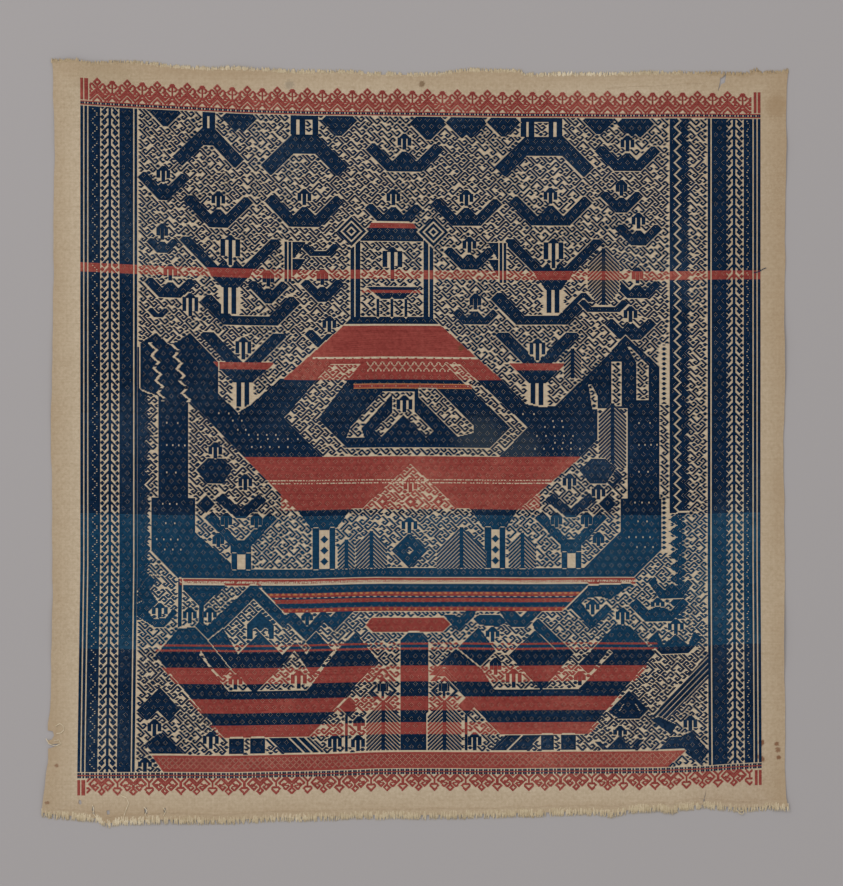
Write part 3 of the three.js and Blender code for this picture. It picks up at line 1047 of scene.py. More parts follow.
border_down = [
    [(0, 10.4), (2.9, 13.4), (0, 16.2), (-2.9, 13.4), (0, 10.4)], [(0, 8), (0, 10.4)],
    [(0, 8), (7.4, 1), (12.6, 6), (10, 8.2), (8, 6.2)],
    [(4.6, 5.6), (9, 9.2), (6, 12.2), (3.2, 9.4), (5.2, 8.2)],
    [(0, 5.2), (5.4, 0)], [(0, 1), (1, 0)], [(16, 4.4), (11.6, 0)], [(16, 4.4), (16, 10.4)],
    [(16, 10.6), (13.6, 9.8), (11.8, 11.4), (16, 16)],
]
reach = (C >= BORDER_LEFT) & (C < BORDER_RIGHT)
x_up, y_up = fold(C + 0.5 - TIP_UP, PITCH_UP) * DRAWN / PITCH_UP, R + ABOVE - 0.5
x_down, y_down = fold(C + 0.5 - TIP_DOWN, PITCH_DOWN) * DRAWN / PITCH_DOWN, R + 0.5 - DOWN_FROM
border = reach & (R < -5) & strokes(x_up, y_up, border_up, STROKE_UP)
border |= reach & (R >= DOWN_FROM) & strokes(x_down, y_down, border_down, STROKE_DOWN)
stripes_at_ends = (C < -325) | (C >= -323) & (C < -320) | (C >= 346) & (C < 348) | (C >= 350)
border |= stripes_at_ends & ((R > -28) & (R < -6) | (R >= 662) & (R < 677))
squares = ((R == -4) | (R == -3) | (R == 655) | (R == 656) | (R == 658) | (R == 659)) & (C * 5 % 13 < 5)
border |= (R == -5) | (R == -2) | (R == 657)
print("cells in borders:", int(border.sum()), "and in squares:", int(squares.sum()))

# %% [markdown]
# On every broad form the weaver ties the floats down with a warp end here and there. The ties make rows of
# faint rings, a zigzag on each outer band and a net of small diamonds on the bar at the foot.

# %% Ties
RING_X, RING_Y = 8, 7           # columns and picks from one ring to the next
TIE_SHARE = 0.96                # of the ties that still hold
ring_row = np.floor((R + 1) / RING_Y)
ring_x = (C + np.where(ring_row % 2 == 0, 0, RING_X // 2)) % RING_X - 3
ring_y = (R + 1) % RING_Y - 3
rings = np.abs(ring_x) + np.abs(ring_y) == 2
broad = (solid | woven_bands) & ~border
inner = broad.copy()
for _ in range(2):
    trimmed = inner.copy()
    trimmed[1:-1, 1:-1] = inner[1:-1, 1:-1] & inner[2:, 1:-1] & inner[:-2, 1:-1]
    trimmed[1:-1, 1:-1] &= inner[1:-1, 2:] & inner[1:-1, :-2]
    inner = trimmed
outer_band = (C < -307) | (C >= 335)
zigzag = fold(R, 7)
zig_left = np.abs(C + 0.5 + 313.5 - (zigzag - 3.5)) < 1
zig_right = np.abs(C + 0.5 - 340 - (zigzag - 3.5) * 0.8) < 1
net = ((C + R) % 6 == 0) | ((C - R) % 6 == 0)
ties = inner & np.where(outer_band, (zig_left | zig_right) & (R % 2 == 0), np.where(bar, net, rings))
ties &= (random.random(C.shape) < TIE_SHARE) & ~(deck & (R < 241))
print("ties:", int(ties.sum()))

# %% [markdown]
# One number per cell now says which yarn lies there. The dye changes with the hank in the weaver's hand:
# dark indigo above, a paler blue lower down, dark again at the foot, with red picks between.

# %% Yarn of each cell
NONE, DARK, MIDDLE, RED, WHITE, ORANGE = range(6)
yarn = np.full(C.shape, NONE)
covered = forms | hooks | woven_bands | vine | border | squares
yarn[covered] = DARK
yarn[covered & (R >= MID_FROM) & (R < MID_TO)] = MIDDLE
red_pick = (R >= 154) & (R < 163)       # picks that are red from side to side
yarn[(red & in_field | red_pick) & covered & in_picks] = RED
yarn[orange & in_field & covered & (yarn == RED)] = ORANGE
yarn[pale & in_field & covered] = WHITE
yarn[border] = RED
print("share of cells with pattern yarn:", round(float((yarn > 0).mean()), 3))

# %% [markdown]
# Between two ties a pattern weft lies on top as one float. Each run of cells becomes a low bar with a
# sloping roof: four points at its foot and two along its ridge, a little wider than its cells because
# soft yarn spreads. The whole chart is turned into bars by array sums, without a loop over its cells. First
# the chart gets its place on the cloth.

# %% From chart to cloth
COLUMN = 0.95       # millimetres from one chart column to the next
CHART_MIDDLE = -6.5 # millimetres from the middle of the cloth to column 0
FOOT_FROM, FOOT_PICKS = 450, 200        # the foot spreads from this pick on, within so many picks,
FOOT_LEFT, FOOT_RIGHT = 2.5, 1.0        # by so many columns at the left and at the right edge
WAVE = 0.12         # how far a pick waves up and down, in millimetres
FIELD_UPPER = [     # the first pick of the field: x and y in millimetres, y from the lowest point
    (-318, 686.4), (-291, 684.8), (-234, 681.7), (-167, 678.5), (-101, 676.4), (-34, 676), (32, 675.1),
    (99, 674.5), (165, 674), (279, 673.8), (328, 673.5),
]
FIELD_LOWER = [     # and the last one
    (-291, 53.4), (-234, 53.4), (-167, 53.4), (-101, 54.6), (-34, 57), (32, 57.2), (99, 57), (165, 57.7),
    (232, 57.8), (279, 59.8), (298, 61.3), (328, 62.7),
]

def chart_to_cloth(c, r):
    """Chart column and pick as millimetres, y from the lowest point: columns stand a fixed step apart and
    spread a little at the foot, picks divide the way from the first to the last evenly."""
    foot = np.clip((r - FOOT_FROM) / FOOT_PICKS, 0, 1)
    spread = np.where(c < 0, FOOT_LEFT * c / 270, FOOT_RIGHT * c / 300)
    x = CHART_MIDDLE + COLUMN * (c + foot * spread)
    upper, lower = (np.interp(x, *zip(*edge)) for edge in (FIELD_UPPER, FIELD_LOWER))
    y = upper + (lower - upper) * r / PICKS
    return x, y + WAVE * np.sin(x / 19 + np.sin(y / 53) * 2)

field_corners = chart_to_cloth(np.array([FIELD_LEFT, FIELD_RIGHT]), np.array([0, PICKS]))
print("corners of the field in millimetres:", np.round(field_corners, 1).tolist())

# %% [markdown]
# A float ends at a tie or at bare ground. The runs of one yarn are found for all picks at once, by
# comparing each cell with its neighbour.

# %% Floats
SPREAD = 0.44       # how far a float reaches past the ends of its cells, in cells
FULLNESS = 0.15     # and above and below them
TIE_RING = 0.42     # how far a float reaches into a tie, in cells: in the faint rings and zigzags,
TIE_NET = 0.27      # and in the open net of the bar at the foot
LONGEST = 24        # cells after which a long float dips under one warp end and goes on
FLOAT_HEIGHT = 0.42 # millimetres from the foot of a float to its ridge
SLOPE = 0.35        # cells from the foot to the ridge at each end of a float
SUNK = 0.02         # millimetres that its foot lies under the face of the ground

def float_runs(chosen):
    """Pick, first and last column of every run of chosen cells, as array indices: a run starts and ends
    where a cell differs from its neighbour, or where a long float dips."""
    padded_cells = np.pad(chosen, ((0, 0), (1, 1)))
    joint = np.pad((C + 11 * R) % LONGEST == 0, ((0, 0), (0, 1)))
    begins = padded_cells[:, 1:] & (~padded_cells[:, :-1] | joint)
    finishes = (~padded_cells[:, 1:] | joint) & padded_cells[:, :-1]
    pick, first = np.nonzero(begins)
    return pick, first, np.nonzero(finishes)[1]

print("runs of white yarn:", len(float_runs((yarn == WHITE) & ~ties)[0]))

# %% [markdown]
# Every piece gets a flat UV map, and each mesh of floats carries one dye value per point, so that the
# finish can tell one pick and one hank from the next.

# %% Bars
MAP_BORDER = 20     # millimetres by which the UV map is larger than the cloth
HANK = 24           # picks to a hank: the dye goes evenly from one hank's value to the next one's

def flat_map(piece):
    """A UV map that looks straight down: u = x / span + 0.5 and v = y / span + 0.5, with span a little over
    the larger side of the cloth."""
    mesh = piece.data
    places = np.empty(len(mesh.vertices) * 3)
    mesh.vertices.foreach_get("co", places)
    corner = np.empty(len(mesh.loops), dtype=int)
    mesh.loops.foreach_get("vertex_index", corner)
    span = (HEIGHT + MAP_BORDER) * MM
    uv = places.reshape(-1, 3)[corner, :2] / span + 0.5
    layer = mesh.uv_layers.new(name="OFBake")
    layer.data.foreach_set("uv", uv.ravel())

total_picks = C.shape[0]
hanks = np.arange(0, total_picks + HANK, HANK)
slow = np.interp(np.arange(total_picks), hanks, random.random(total_picks // HANK + 2))
pick_dye = np.clip(0.5 + 0.35 * (slow - 0.5) + random.normal(0, 0.14, total_picks), 0, 1)
print("dye of the picks, mean and spread:", np.round([pick_dye.mean(), pick_dye.std()], 2).tolist())

def float_bars(kind, name, place):
    """A mesh of bars for the cells of one yarn in this place. Where a tie is the neighbour, the bar reaches
    into it by the reach of that tie, otherwise past its cells by SPREAD."""
    pick, first, last = float_runs((yarn == kind) & ~ties & place)
    tie_wide = np.pad(ties, ((0, 0), (1, 1)))
    tie_reach = np.where(bar, TIE_NET, TIE_RING)
    left_reach = np.where(tie_wide[pick, first], tie_reach[pick, first], SPREAD)
    right_reach = np.where(tie_wide[pick, last + 1], tie_reach[pick, last - 1], SPREAD)
    c0, c1 = first + LEFT - left_reach, last + LEFT + right_reach
    r0, r1 = pick - ABOVE - FULLNESS, pick - ABOVE + 1 + FULLNESS
    middle = (r0 + r1) / 2
    inset = np.minimum(SLOPE, (c1 - c0) * 0.3)
    ridge = middle + random.normal(0, 0.05, len(pick))
    corners = [(c0, r0), (c1, r0), (c1, r1), (c0, r1), (c0 + inset, ridge), (c1 - inset, ridge)]
    points = np.empty((len(pick), 6, 3))
    high = FLOAT_HEIGHT * (0.8 + 0.2 * random.random(len(pick)))
    for k, (column, row) in enumerate(corners):
        x, y = chart_to_cloth(column, row)
        points[:, k] = to_frame(x, y, ground_top(x, y) - SUNK + (k > 3) * high)
    # picks count down the cloth, so corners 0, 1, 2, 3 run clockwise seen from above
    n = len(pick)
    base = 6 * np.arange(n)[:, None]
    quads = np.concatenate([base + np.array(f) for f in ((0, 4, 5, 1), (2, 5, 4, 3), (0, 1, 2, 3))])
    tris = np.concatenate([base + np.array(f) for f in ((1, 5, 2), (3, 4, 0))])
    mesh = bpy.data.meshes.new(name)
    mesh.vertices.add(6 * n)
    mesh.vertices.foreach_set("co", points.reshape(-1))
    mesh.loops.add(quads.size + tris.size)
    mesh.loops.foreach_set("vertex_index", np.concatenate([quads.ravel(), tris.ravel()]))
    mesh.polygons.add(len(quads) + len(tris))
    starts = np.concatenate([np.arange(len(quads)) * 4, quads.size + np.arange(len(tris)) * 3])
    mesh.polygons.foreach_set("loop_start", starts)
    mesh.update(calc_edges=True)
    dye = mesh.attributes.new("dye", "FLOAT", "POINT")
    streak = np.repeat(pick_dye[pick] + random.normal(0, 0.10, n), 6)
    dye.data.foreach_set("value", np.clip(streak, 0, 1).astype(np.float32))
    piece = bpy.data.objects.new(name, mesh)
    bpy.context.scene.collection.objects.link(piece)
    flat_map(piece)
    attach(piece, "root")
    print(name, "floats:", n, "triangles:", 8 * n)
    return piece

# %% [markdown]
# The dark yarn is most of the pattern, so it is made in five pieces from the upper end to the foot and at
# the sides. Each other yarn is one piece.

# %% Wefts
anywhere = ~empty()
wefts = [
    float_bars(DARK, "indigo_weft_upper", in_field & (R < 130)),
    float_bars(DARK, "indigo_weft_shrine", in_field & (R >= 130) & (R < 270)),
    float_bars(DARK, "indigo_weft_middle", in_field & (R >= 270) & (R < 450)),
    float_bars(DARK, "indigo_weft_foot", in_field & (R >= 450)),
    float_bars(MIDDLE, "blue_weft", anywhere),
    float_bars(DARK, "indigo_weft_sides", ~in_field),
    float_bars(RED, "red_weft", anywhere),
    float_bars(WHITE, "white_weft", anywhere),
    float_bars(ORANGE, "orange_weft", anywhere),
]
print("pieces of pattern yarn:", len(wefts))

# %% [markdown]
# The two ends were never hemmed, so the last picks have slipped off and the warp ends stand free. Each
# loose clump is a low tapered tuft that leans its own way.

# %% Frayed ends
HALF_WIDTH = (0.35, 0.95)       # of the foot of a tuft: least and greatest, in millimetres
LEAN = 0.16                     # usual slant of a tuft, sideways over lengthwise

def tufts(bends, out, count, inside, past):
    """Tapered tufts along one raw end, at random shares of it. Each is a ridge of three lines: foot, middle
    and a single tip. It starts inside the edge, lying on the weave, and ends beyond it by a random part of
    `past`."""
    foot = side_points(bends, (0, out), np.sort(random.random(count)))
    x, edge = foot[:, 0], foot[:, 1]
    half = random.uniform(*HALF_WIDTH, count)
    start = inside * random.uniform(0.5, 1.0, count)
    clump = 0.5 + 0.5 * np.sin(x / 9 + 2 * np.sin(x / 31))     # tufts are longer and shorter by turns
    end = past * (random.random(count) ** 1.3 * 0.75 + 0.25 * clump)
    lean = random.normal(0, LEAN, count) * (start + end)
    rows = []
    for part, wide, tall in ((0.0, 1.0, 0.55), (0.55, 0.85, 0.75)):
        y = edge + out * (-start + part * (start + end))
        z = cockle_lift(x, y) + np.where(out * (y - edge) < 0, GROUND - 0.1, 0.15)
        middle = x + lean * part**2
        rows += [to_frame(middle - half * wide, y, z), to_frame(middle, y, z + tall),
                 to_frame(middle + half * wide, y, z)]
    tip_y = edge + out * end
    rows.append(to_frame(x + lean, tip_y, cockle_lift(x, tip_y) + 0.15))
    points = np.stack(rows, axis=1)
    faces = [(0, 1, 2), (0, 3, 4), (0, 4, 1), (1, 4, 5), (1, 5, 2), (2, 5, 3), (2, 3, 0), (3, 6, 4),
             (4, 6, 5), (5, 6, 3)]
    turn = np.array(faces if out < 0 else [face[::-1] for face in faces])
    return points.reshape(-1, 3), (7 * np.arange(count)[:, None, None] + turn).reshape(-1, 3)

TUFTS = 1100                # along each end
# bends, way out, and the greatest reach in millimetres inside and past the edge
RAW_ENDS = ((UPPER_END, 1, 3.5, 2.6), (LOWER_END, -1, 8.5, 1.8))
fringe_points, fringe_faces = [], []
for bends, out, inside, past in RAW_ENDS:
    points, faces = tufts(bends, out, TUFTS, inside, past)
    fringe_faces.append(faces + sum(len(p) for p in fringe_points))
    fringe_points.append(points)
fray = new_mesh("frayed_warp_ends", np.vstack(fringe_points), np.vstack(fringe_faces))
print("tufts along the raw ends:", 2 * TUFTS)

# %% [markdown]
# A yarn that has worked loose is a round tube along a short path. Where the cloth tore, the broken warp
# ends curled up beside the hole; they are undyed and paler than the soiled cloth around them.

# %% Yarn along a path
AROUND = 6          # points in one ring
RING_STEP = 0.8     # millimetres from one ring to the next

def yarn_along(name, path, radius):
    """A round yarn along a path of points in millimetres: a ring of points stands square to each step, and
    the radius swells and thins by a slow sine. Both ends are closed by a point."""
    path = np.array(path, float)
    way = np.concatenate([[0], np.cumsum(np.linalg.norm(np.diff(path, axis=0), axis=1))])
    steps = max(8, int(way[-1] / RING_STEP))
    s = np.linspace(0, way[-1], steps)
    spine = np.stack([np.interp(s, way, path[:, k]) for k in range(3)], axis=1)
    ahead = np.gradient(spine, axis=0)
    ahead /= np.linalg.norm(ahead, axis=1)[:, None]
    aside = np.cross(ahead, (0, 0, 1.0))
    aside /= np.linalg.norm(aside, axis=1)[:, None]
    above = np.cross(aside, ahead)
    angle = np.linspace(0, 2 * np.pi, AROUND, endpoint=False)
    swell = radius * (1 + 0.15 * np.sin(s / 2.1))[:, None, None]
    round_it = np.cos(angle)[:, None] * aside[:, None] + np.sin(angle)[:, None] * above[:, None]
    ring = spine[:, None] + swell * round_it
    tips = [spine[:1] - ahead[:1] * radius, spine[-1:] + ahead[-1:] * radius]
    points = np.vstack([ring.reshape(-1, 3), *tips])
    i, k = np.meshgrid(np.arange(steps - 1), np.arange(AROUND), indexing="ij")
    a, b = i * AROUND + k, i * AROUND + (k + 1) % AROUND
    quads = np.stack([a, a + AROUND, b + AROUND, b], axis=-1).reshape(-1, 4)
    k = np.arange(AROUND)
    first = np.stack([np.full(AROUND, steps * AROUND), k, (k + 1) % AROUND], axis=-1)
    last = np.stack([np.full(AROUND, steps * AROUND + 1), (k + 1) % AROUND, k], axis=-1)
    last[:, 1:] += (steps - 1) * AROUND
    faces = quads.tolist() + first.tolist() + last.tolist()
    return new_mesh(name, to_frame(points[:, 0], points[:, 1], points[:, 2]), faces)

def on_cloth(points, above):
    """Points x, y as x, y, z that lie this far above the face of the ground weave."""
    x, y = np.array(points, float).T
    return np.stack([x, y, ground_top(x, y) + above], axis=1)

print("a loose yarn has", AROUND, "sides and a ring of points about every", RING_STEP, "mm")

# %% [markdown]
# The broken warp ends lie at the tears and slits. A slub, the last pick that still holds and one blue end
# at the right complete them.

# %% Loose yarns
THIN, THICK = 0.4, 0.42         # radius of a warp end and of a weft, in millimetres
SLUB = [(181.6, 702.5), (205, 704.5), (228, 705), (252, 707), (274.7, 707.5)]
slub = yarn_along("slub_pick", on_cloth(SLUB, -0.1), THICK)
BLUE_END = [(322, 527.2), (327.3, 528.7), (330.5, 530.8), (333.4, 532)]
loose_blue = yarn_along("loose_blue_end", on_cloth(BLUE_END, 0.3), THIN)
THREADS = {     # warp ends that broke at a tear or a slit and curled up, as x, y
    "curled_thread": [(306, 17), (308, 14.5), (310.5, 13.2), (312.4, 14.6), (311.6, 17), (309.4, 16.4)],
    "thread_at_notch": [(-341, 97), (-337, 99.5), (-334, 97.5), (-333, 93.5), (-336, 90.5), (-340, 90)],
    "thread_at_tear": [(-350, 85), (-347, 80), (-341, 78), (-336, 80.5), (-338, 84), (-342, 83)],
    "thread_lower_a": [(-306, 22), (-304.5, 18), (-305.5, 14), (-303, 11)],
    "thread_lower_b": [(-279, 31), (-274, 29), (-271.5, 24), (-274, 18), (-276, 12)],
    "thread_lower_c": [(-257, 20), (-254, 17), (-256, 13), (-254, 10)],
    "thread_lower_d": [(-239, 20), (-236.5, 16), (-238.5, 12)],
}
threads = [yarn_along(name, on_cloth(path, 0.45), THIN) for name, path in THREADS.items()]
LAST_PICK = 10                  # millimetres from the lower end to the last pick that still holds
last = side_points(LOWER_END, (0, -1), np.linspace(0.02, 0.98, 120))
last[:, 1] += LAST_PICK + 0.5 * np.sin(last[:, 0] / 13)
last_pick = yarn_along("last_pick", on_cloth(last, -0.05), THICK)
for piece in (fray, slub, *threads, last_pick, loose_blue):
    flat_map(piece)
    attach(piece, "root")
print("loose yarns:", [piece.name for piece in (slub, *threads, last_pick, loose_blue)])

# %% [markdown]
# Three effects are node groups, so that any finish can use them: uneven dye, the relief of a plain weave,
# and a stain. They give out only masks and heights; each material decides what to do with them.
# First come the few helpers that the groups and the materials are wired with.

# %% Helpers for nodes
def effect(name, inputs, outputs):
    """An empty node group with named sockets, and its input and output nodes."""
    tree = bpy.data.node_groups.new(name, "ShaderNodeTree")
    for label, kind, start in inputs:
        socket = tree.interface.new_socket(label, in_out="INPUT", socket_type=kind)
        if start is not None:
            socket.default_value = start
    for label in outputs:
        tree.interface.new_socket(label, in_out="OUTPUT", socket_type="NodeSocketFloat")
    return tree, tree.nodes.new("NodeGroupInput").outputs, tree.nodes.new("NodeGroupOutput").inputs

def feed(tree, socket, value):
    """Link the socket from another one, or give it a plain value."""
    if isinstance(value, bpy.types.NodeSocket):
        tree.links.new(value, socket)
    else:
        socket.default_value = value

def wired(tree, kind, settings, **links):
    """A node with its plain properties set and its inputs linked or given a value. An input goes by its name
    or, where names repeat, by i and its number."""
    node = tree.nodes.new(kind)
    for key, value in settings.items():
        setattr(node, key, value)
    for key, value in links.items():
        by_number = key[0] == "i" and key[1:].isdigit()
        feed(tree, node.inputs[int(key[1:]) if by_number else key], value)
    return node

def calc(tree, operation, a, b=0.0, c=0.0, clamp=False):
    """The output of one math node."""
    settings = {"operation": operation, "use_clamp": clamp}
    return wired(tree, "ShaderNodeMath", settings, i0=a, i1=b, i2=c).outputs[0]

def noise(tree, place, stretch, detail):
    """Noise over the place after each axis is multiplied by its own stretch, per metre. Its middle half is
    drawn out to the full range from 0 to 1."""
    moved = wired(tree, "ShaderNodeVectorMath", {"operation": "MULTIPLY"}, i0=place, i1=stretch)
    raw = wired(tree, "ShaderNodeTexNoise", {}, Vector=moved.outputs[0], Scale=1.0, Detail=detail).outputs[0]
    return calc(tree, "MULTIPLY_ADD", raw, 2.0, -0.5, clamp=True)

VECTOR, NUMBER = "NodeSocketVector", "NodeSocketFloat"
print("sockets used:", VECTOR, NUMBER)

# %% [markdown]
# Handspun yarn takes up dye unevenly. The first group gives broad patches, fine grain, and streaks that
# run along the weft or along the warp, each one noise stretched its own way.

# %% Uneven dye
uneven, given, put = effect("uneven_dye", [("Place", VECTOR, None)],
                            ["Patches", "Grain", "Weft streaks", "Warp streaks"])
for socket, stretch, detail in (("Patches", (9, 9, 9), 5.0), ("Grain", (420, 420, 420), 2.0),
                                ("Weft streaks", (7, 700, 1), 2.0), ("Warp streaks", (650, 6, 1), 2.0)):
    uneven.links.new(noise(uneven, given["Place"], stretch, detail), put[socket])

print("uneven dye nodes:", len(uneven.nodes))

# %% [markdown]
# In a plain weave the warp and the weft pass over and under each other by turns. Two sine waves, one across
# and one along, make the humps: where their product is positive the warp lies on top, elsewhere the weft.
# Where both are low lies the gap between the yarns; the ground finish uses its mask to paint shade there.

# %% Relief of the plain weave
relief_group, given, put = effect("plain_weave", [
    ("Place", VECTOR, None), ("Ends per metre", NUMBER, 1300.0), ("Picks per metre", NUMBER, 1050.0),
], ["Height", "Gap shade"])
axes = wired(relief_group, "ShaderNodeSeparateXYZ", {}, Vector=given["Place"]).outputs
waves = []
for axis, count in ((axes["X"], given["Ends per metre"]), (axes["Y"], given["Picks per metre"])):
    turn = calc(relief_group, "MULTIPLY", calc(relief_group, "MULTIPLY", axis, count), np.pi)
    waves.append(calc(relief_group, "SINE", turn))
warp_up = calc(relief_group, "GREATER_THAN", calc(relief_group, "MULTIPLY", *waves), 0.0)
humps = [calc(relief_group, "ABSOLUTE", wave) for wave in waves]
shown = calc(relief_group, "ADD", calc(relief_group, "MULTIPLY", humps[0], warp_up),
             calc(relief_group, "MULTIPLY", humps[1], calc(relief_group, "SUBTRACT", 1.0, warp_up)))
relief_group.links.new(shown, put["Height"])
# mask of the gaps between the yarns, used only to paint shade into the colour
gap_shade = calc(relief_group, "SUBTRACT", 1.0, calc(relief_group, "MAXIMUM", *humps))
relief_group.links.new(gap_shade, put["Gap shade"])
print("plain weave nodes:", len(relief_group.nodes))

# %% [markdown]
# A stain is a round spot with a ragged rim: the distance from its middle is divided by its radius, which
# noise makes a little larger or smaller, and the mask falls off evenly near the rim.

# %% Stain
stain_group, given, put = effect("stain", [
    ("Place", VECTOR, None), ("X", NUMBER, 0.0), ("Y", NUMBER, 0.0), ("Radius", NUMBER, 0.003),
], ["Mask"])
middle = wired(stain_group, "ShaderNodeCombineXYZ", {}, X=given["X"], Y=given["Y"]).outputs[0]
times = {"operation": "MULTIPLY"}
level = wired(stain_group, "ShaderNodeVectorMath", times, i0=given["Place"], i1=(1, 1, 0)).outputs[0]
apart = {"operation": "DISTANCE"}
away = wired(stain_group, "ShaderNodeVectorMath", apart, i0=level, i1=middle).outputs["Value"]
ragged = noise(stain_group, given["Place"], (600, 600, 1), 2.0)
rim = calc(stain_group, "MULTIPLY", given["Radius"], calc(stain_group, "ADD", ragged, 0.7))
share = calc(stain_group, "DIVIDE", away, rim)
fade = calc(stain_group, "MULTIPLY", calc(stain_group, "SUBTRACT", 1.3, share), 1.6, clamp=True)
stain_group.links.new(fade, put["Mask"])
print("shared effects:", [g.name for g in (uneven, relief_group, stain_group)])

# %% [markdown]
# The yarns are matt. What makes them look like cotton is uneven dye: each pick is a little lighter or
# darker than the next, and the colour is worn paler in patches. Fine twist shows as a faint relief. The
# steps that several finishes share come first.

# %% Steps of a finish
MATT_GLOSS = 0.03       # specular level of cotton

def shared(tree, group, **links):
    """One use of a shared effect, with its sockets linked or set; spaces in socket names are underscores."""
    node = wired(tree, "ShaderNodeGroup", {"node_tree": group})
    for key, value in links.items():
        feed(tree, node.inputs[key.replace("_", " ")], value)
    return node.outputs

def blend(tree, amount, a, b):
    """Colour a going over to colour b by the amount."""
    return wired(tree, "ShaderNodeMix", {"data_type": "RGBA"}, Factor=amount, i6=a, i7=b).outputs[2]

def stained(tree, place, colour, spots):
    """The colour with each spot (x, y, radius in millimetres, strength, stain colour) soaked in."""
    for x, y, radius, strength, soaked in spots:
        mask = shared(tree, stain_group, Place=place, X=x * MM, Y=y * MM, Radius=radius * MM)["Mask"]
        colour = blend(tree, calc(tree, "MULTIPLY", mask, strength), colour, soaked)
    return colour

def matt(name):
    """A new matt material: its node tree, its shader and the Object coordinates."""
    made = bpy.data.materials.new(name)
    made.use_nodes = True
    tree = made.node_tree
    shader = tree.nodes["Principled BSDF"]
    shader.inputs["Specular IOR Level"].default_value = MATT_GLOSS
    return made, tree, shader, tree.nodes.new("ShaderNodeTexCoord").outputs["Object"]

print("helpers of the finishes:", [helper.__name__ for helper in (shared, blend, stained, matt)])

# %% [markdown]
# Every yarn shares one finish with its own shades: a dark and a light one that the dye goes between, and a
# worn one for the rubbed patches.

# %% Yarn finishes
def yarn_finish(name, dark, light, worn, rough, spots):
    """Yarn whose colour runs between two shades by the float's own dye value and by the uneven dye, and goes
    over to a worn shade in patches."""
    made, tree, shader, place = matt(name)
    value = wired(tree, "ShaderNodeAttribute", {"attribute_name": "dye"}).outputs["Fac"]
    dye = shared(tree, uneven, Place=place)
    mixed = calc(tree, "MULTIPLY", value, 0.4)
    mixed = calc(tree, "ADD", mixed, calc(tree, "MULTIPLY", dye["Patches"], 0.2))
    mixed = calc(tree, "ADD", mixed, calc(tree, "MULTIPLY", dye["Grain"], 0.5), clamp=True)
    colour = blend(tree, mixed, dark, light)
    rubbed = calc(tree, "MULTIPLY", calc(tree, "SUBTRACT", dye["Patches"], 0.55), 2.2, clamp=True)
    colour = blend(tree, calc(tree, "MULTIPLY", rubbed, dye["Grain"]), colour, worn)
    tree.links.new(stained(tree, place, colour, spots), shader.inputs["Base Color"])
    roughness = calc(tree, "ADD", rough, calc(tree, "MULTIPLY", dye["Grain"], 0.08))
    tree.links.new(roughness, shader.inputs["Roughness"])
    twist = calc(tree, "ADD", dye["Weft streaks"], dye["Grain"])
    bump = wired(tree, "ShaderNodeBump", {}, Height=twist, Strength=0.35, Distance=0.0002)
    tree.links.new(bump.outputs["Normal"], shader.inputs["Normal"])
    return made

RUST, BROWN, GREY, PALE = linear(120, 74, 46), linear(104, 78, 52), linear(120, 116, 108), linear(84, 92, 92)
OLIVE, ORANGE_STAIN = linear(112, 96, 48), linear(168, 112, 66)
SOIL = linear(150, 118, 80)
# spots on each yarn: x, y, radius in millimetres from the middle of the cloth, strength, colour
ON_INDIGO = [(62, 3, 18, 0.3, PALE), (100, -6, 16, 0.24, PALE), (178, 160, 13, 0.14, OLIVE),
             (-290, -113.5, 3, 0.5, ORANGE_STAIN)]
ON_RED = [(44, 90.8, 2.2, 0.7, BROWN), (60, 48, 1.8, 0.6, BROWN)]
ON_UNDYED = [(330, 356, 60, 0.45, SOIL), (-340, 364, 60, 0.3, SOIL)]
# dark, light and worn shade, roughness, spots
YARNS = {
    "indigo": ((5, 18, 34), (24, 50, 80), (50, 72, 94), 0.88, ON_INDIGO),
    "blue": ((7, 38, 62), (34, 76, 106), (60, 96, 118), 0.88, []),
    "red": ((118, 44, 42), (168, 84, 76), (184, 114, 98), 0.88, ON_RED),
    "white": ((190, 178, 152), (214, 202, 178), (222, 212, 190), 0.9, []),
    "orange": ((176, 110, 70), (196, 134, 92), (200, 150, 116), 0.9, []),
    "undyed": ((188, 172, 142), (226, 212, 184), (238, 228, 206), 0.9, ON_UNDYED),
    "loose": ((14, 40, 66), (30, 62, 92), (60, 84, 100), 0.9, []),
}
finishes = {}
for name, (dark, light, worn, rough, spots) in YARNS.items():
    shades = (linear(*dark), linear(*light), linear(*worn))
    finishes[name] = yarn_finish(name + "_cotton", *shades, rough, spots)
# the first word of a piece's name is its finish
for piece in [*wefts, loose_blue]:
    piece.data.materials.append(finishes[piece.name.split("_")[0]])
for piece in (fray, *threads):
    piece.data.materials.append(finishes["undyed"])
print("yarn finishes:", sorted(finishes))

# %% [markdown]
# The ground is undyed handspun cotton, aged to beige: patches, streaks along warp and weft, soiled rims,
# painted shade in the gaps between the yarns, and the stains that the cloth has picked up.

# %% Finish of the ground
SPOTS = [  # rust beside the lower right edge, then single marks near the upper end
    (329.3, -284.1, 2.4, 0.85, RUST), (343.8, -285.3, 1.8, 0.75, RUST), (345, -290.8, 2.0, 0.7, RUST),
    (345.6, -298, 1.7, 0.8, RUST), (329.8, -299.6, 2.2, 0.8, RUST), (325.6, -297.4, 1.6, 0.7, RUST),
    (343, 320, 9.0, 0.3, SOIL), (6.8, 341.5, 2.4, 0.7, BROWN), (-119, 340.6, 3.6, 0.35, GREY),
    (-290, -113.5, 3.0, 0.5, ORANGE_STAIN), (178, 160, 14, 0.14, ORANGE_STAIN),
    (-290, 330, 30, 0.12, OLIVE), (300, -335, 34, 0.12, RUST), (350, 160, 70, 0.14, SOIL),
    (345, 335, 80, 0.16, SOIL), (60, 362, 60, 0.12, SOIL), (-200, 366, 50, 0.1, SOIL),
    (-340, -306, 1.5, 0.6, RUST), (-349, -341, 1.6, 0.6, RUST),
]
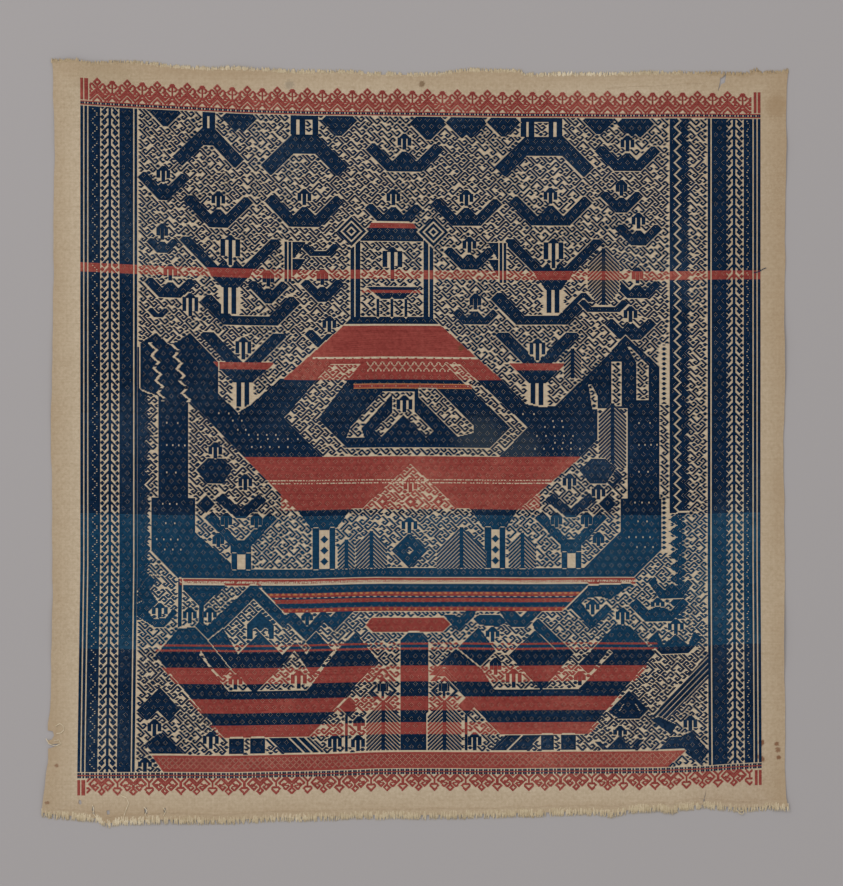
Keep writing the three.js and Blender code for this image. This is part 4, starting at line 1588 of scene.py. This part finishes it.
RIM_SLOPE, RIM_OFFSET = 12.0, -10.7     # the rim is soiled from 0.89 of the way to the edge, fully at 0.975
cotton, tree, shader, place = matt("beige_cotton")
dye = shared(tree, uneven, Place=place)
weave = shared(tree, relief_group, Place=place)
colour = blend(tree, dye["Patches"], linear(199, 180, 152), linear(217, 200, 174))
colour = blend(tree, calc(tree, "MULTIPLY", dye["Warp streaks"], 0.6), colour, linear(190, 170, 144))
colour = blend(tree, calc(tree, "MULTIPLY", dye["Weft streaks"], 0.5), colour, linear(176, 154, 126))
colour = blend(tree, calc(tree, "MULTIPLY", dye["Grain"], 0.5), colour, linear(236, 220, 194))
axes = wired(tree, "ShaderNodeSeparateXYZ", {}, Vector=place).outputs
near_side = calc(tree, "DIVIDE", calc(tree, "ABSOLUTE", axes["X"]), WIDTH / 2 * MM)
near_end = calc(tree, "DIVIDE", calc(tree, "ABSOLUTE", axes["Y"]), HEIGHT / 2 * MM)
nearest = calc(tree, "MAXIMUM", near_side, near_end)
rim = calc(tree, "MULTIPLY_ADD", nearest, RIM_SLOPE, RIM_OFFSET, clamp=True)
soiled = calc(tree, "MULTIPLY", rim, calc(tree, "ADD", calc(tree, "MULTIPLY", dye["Patches"], 0.4), 0.25))
colour = blend(tree, soiled, colour, linear(168, 140, 106))
# painted shade: the gaps between the yarns are darkened in the colour itself
colour = blend(tree, calc(tree, "MULTIPLY", weave["Gap shade"], 0.7), colour, linear(120, 100, 76))
tree.links.new(stained(tree, place, colour, SPOTS), shader.inputs["Base Color"])
roughness = calc(tree, "ADD", 0.88, calc(tree, "MULTIPLY", dye["Grain"], 0.1))
tree.links.new(roughness, shader.inputs["Roughness"])
height = calc(tree, "ADD", weave["Height"], calc(tree, "MULTIPLY", dye["Grain"], 0.4))
bump = wired(tree, "ShaderNodeBump", {}, Height=height, Strength=0.6, Distance=0.0003)
tree.links.new(bump.outputs["Normal"], shader.inputs["Normal"])
ground.data.materials.clear()
for piece in (ground, slub, last_pick):
    piece.data.materials.append(cotton)
print("ground finish nodes:", len(tree.nodes))

# %% [markdown]
# Last, the pieces are joined to the part's frame: the sheet stands for the cloth's solid, and the yarns,
# loose ends and frayed ends ride on it.

# %% Put the cloth on the frame
flat_map(ground)
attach(ground, "root")
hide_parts("cloth")
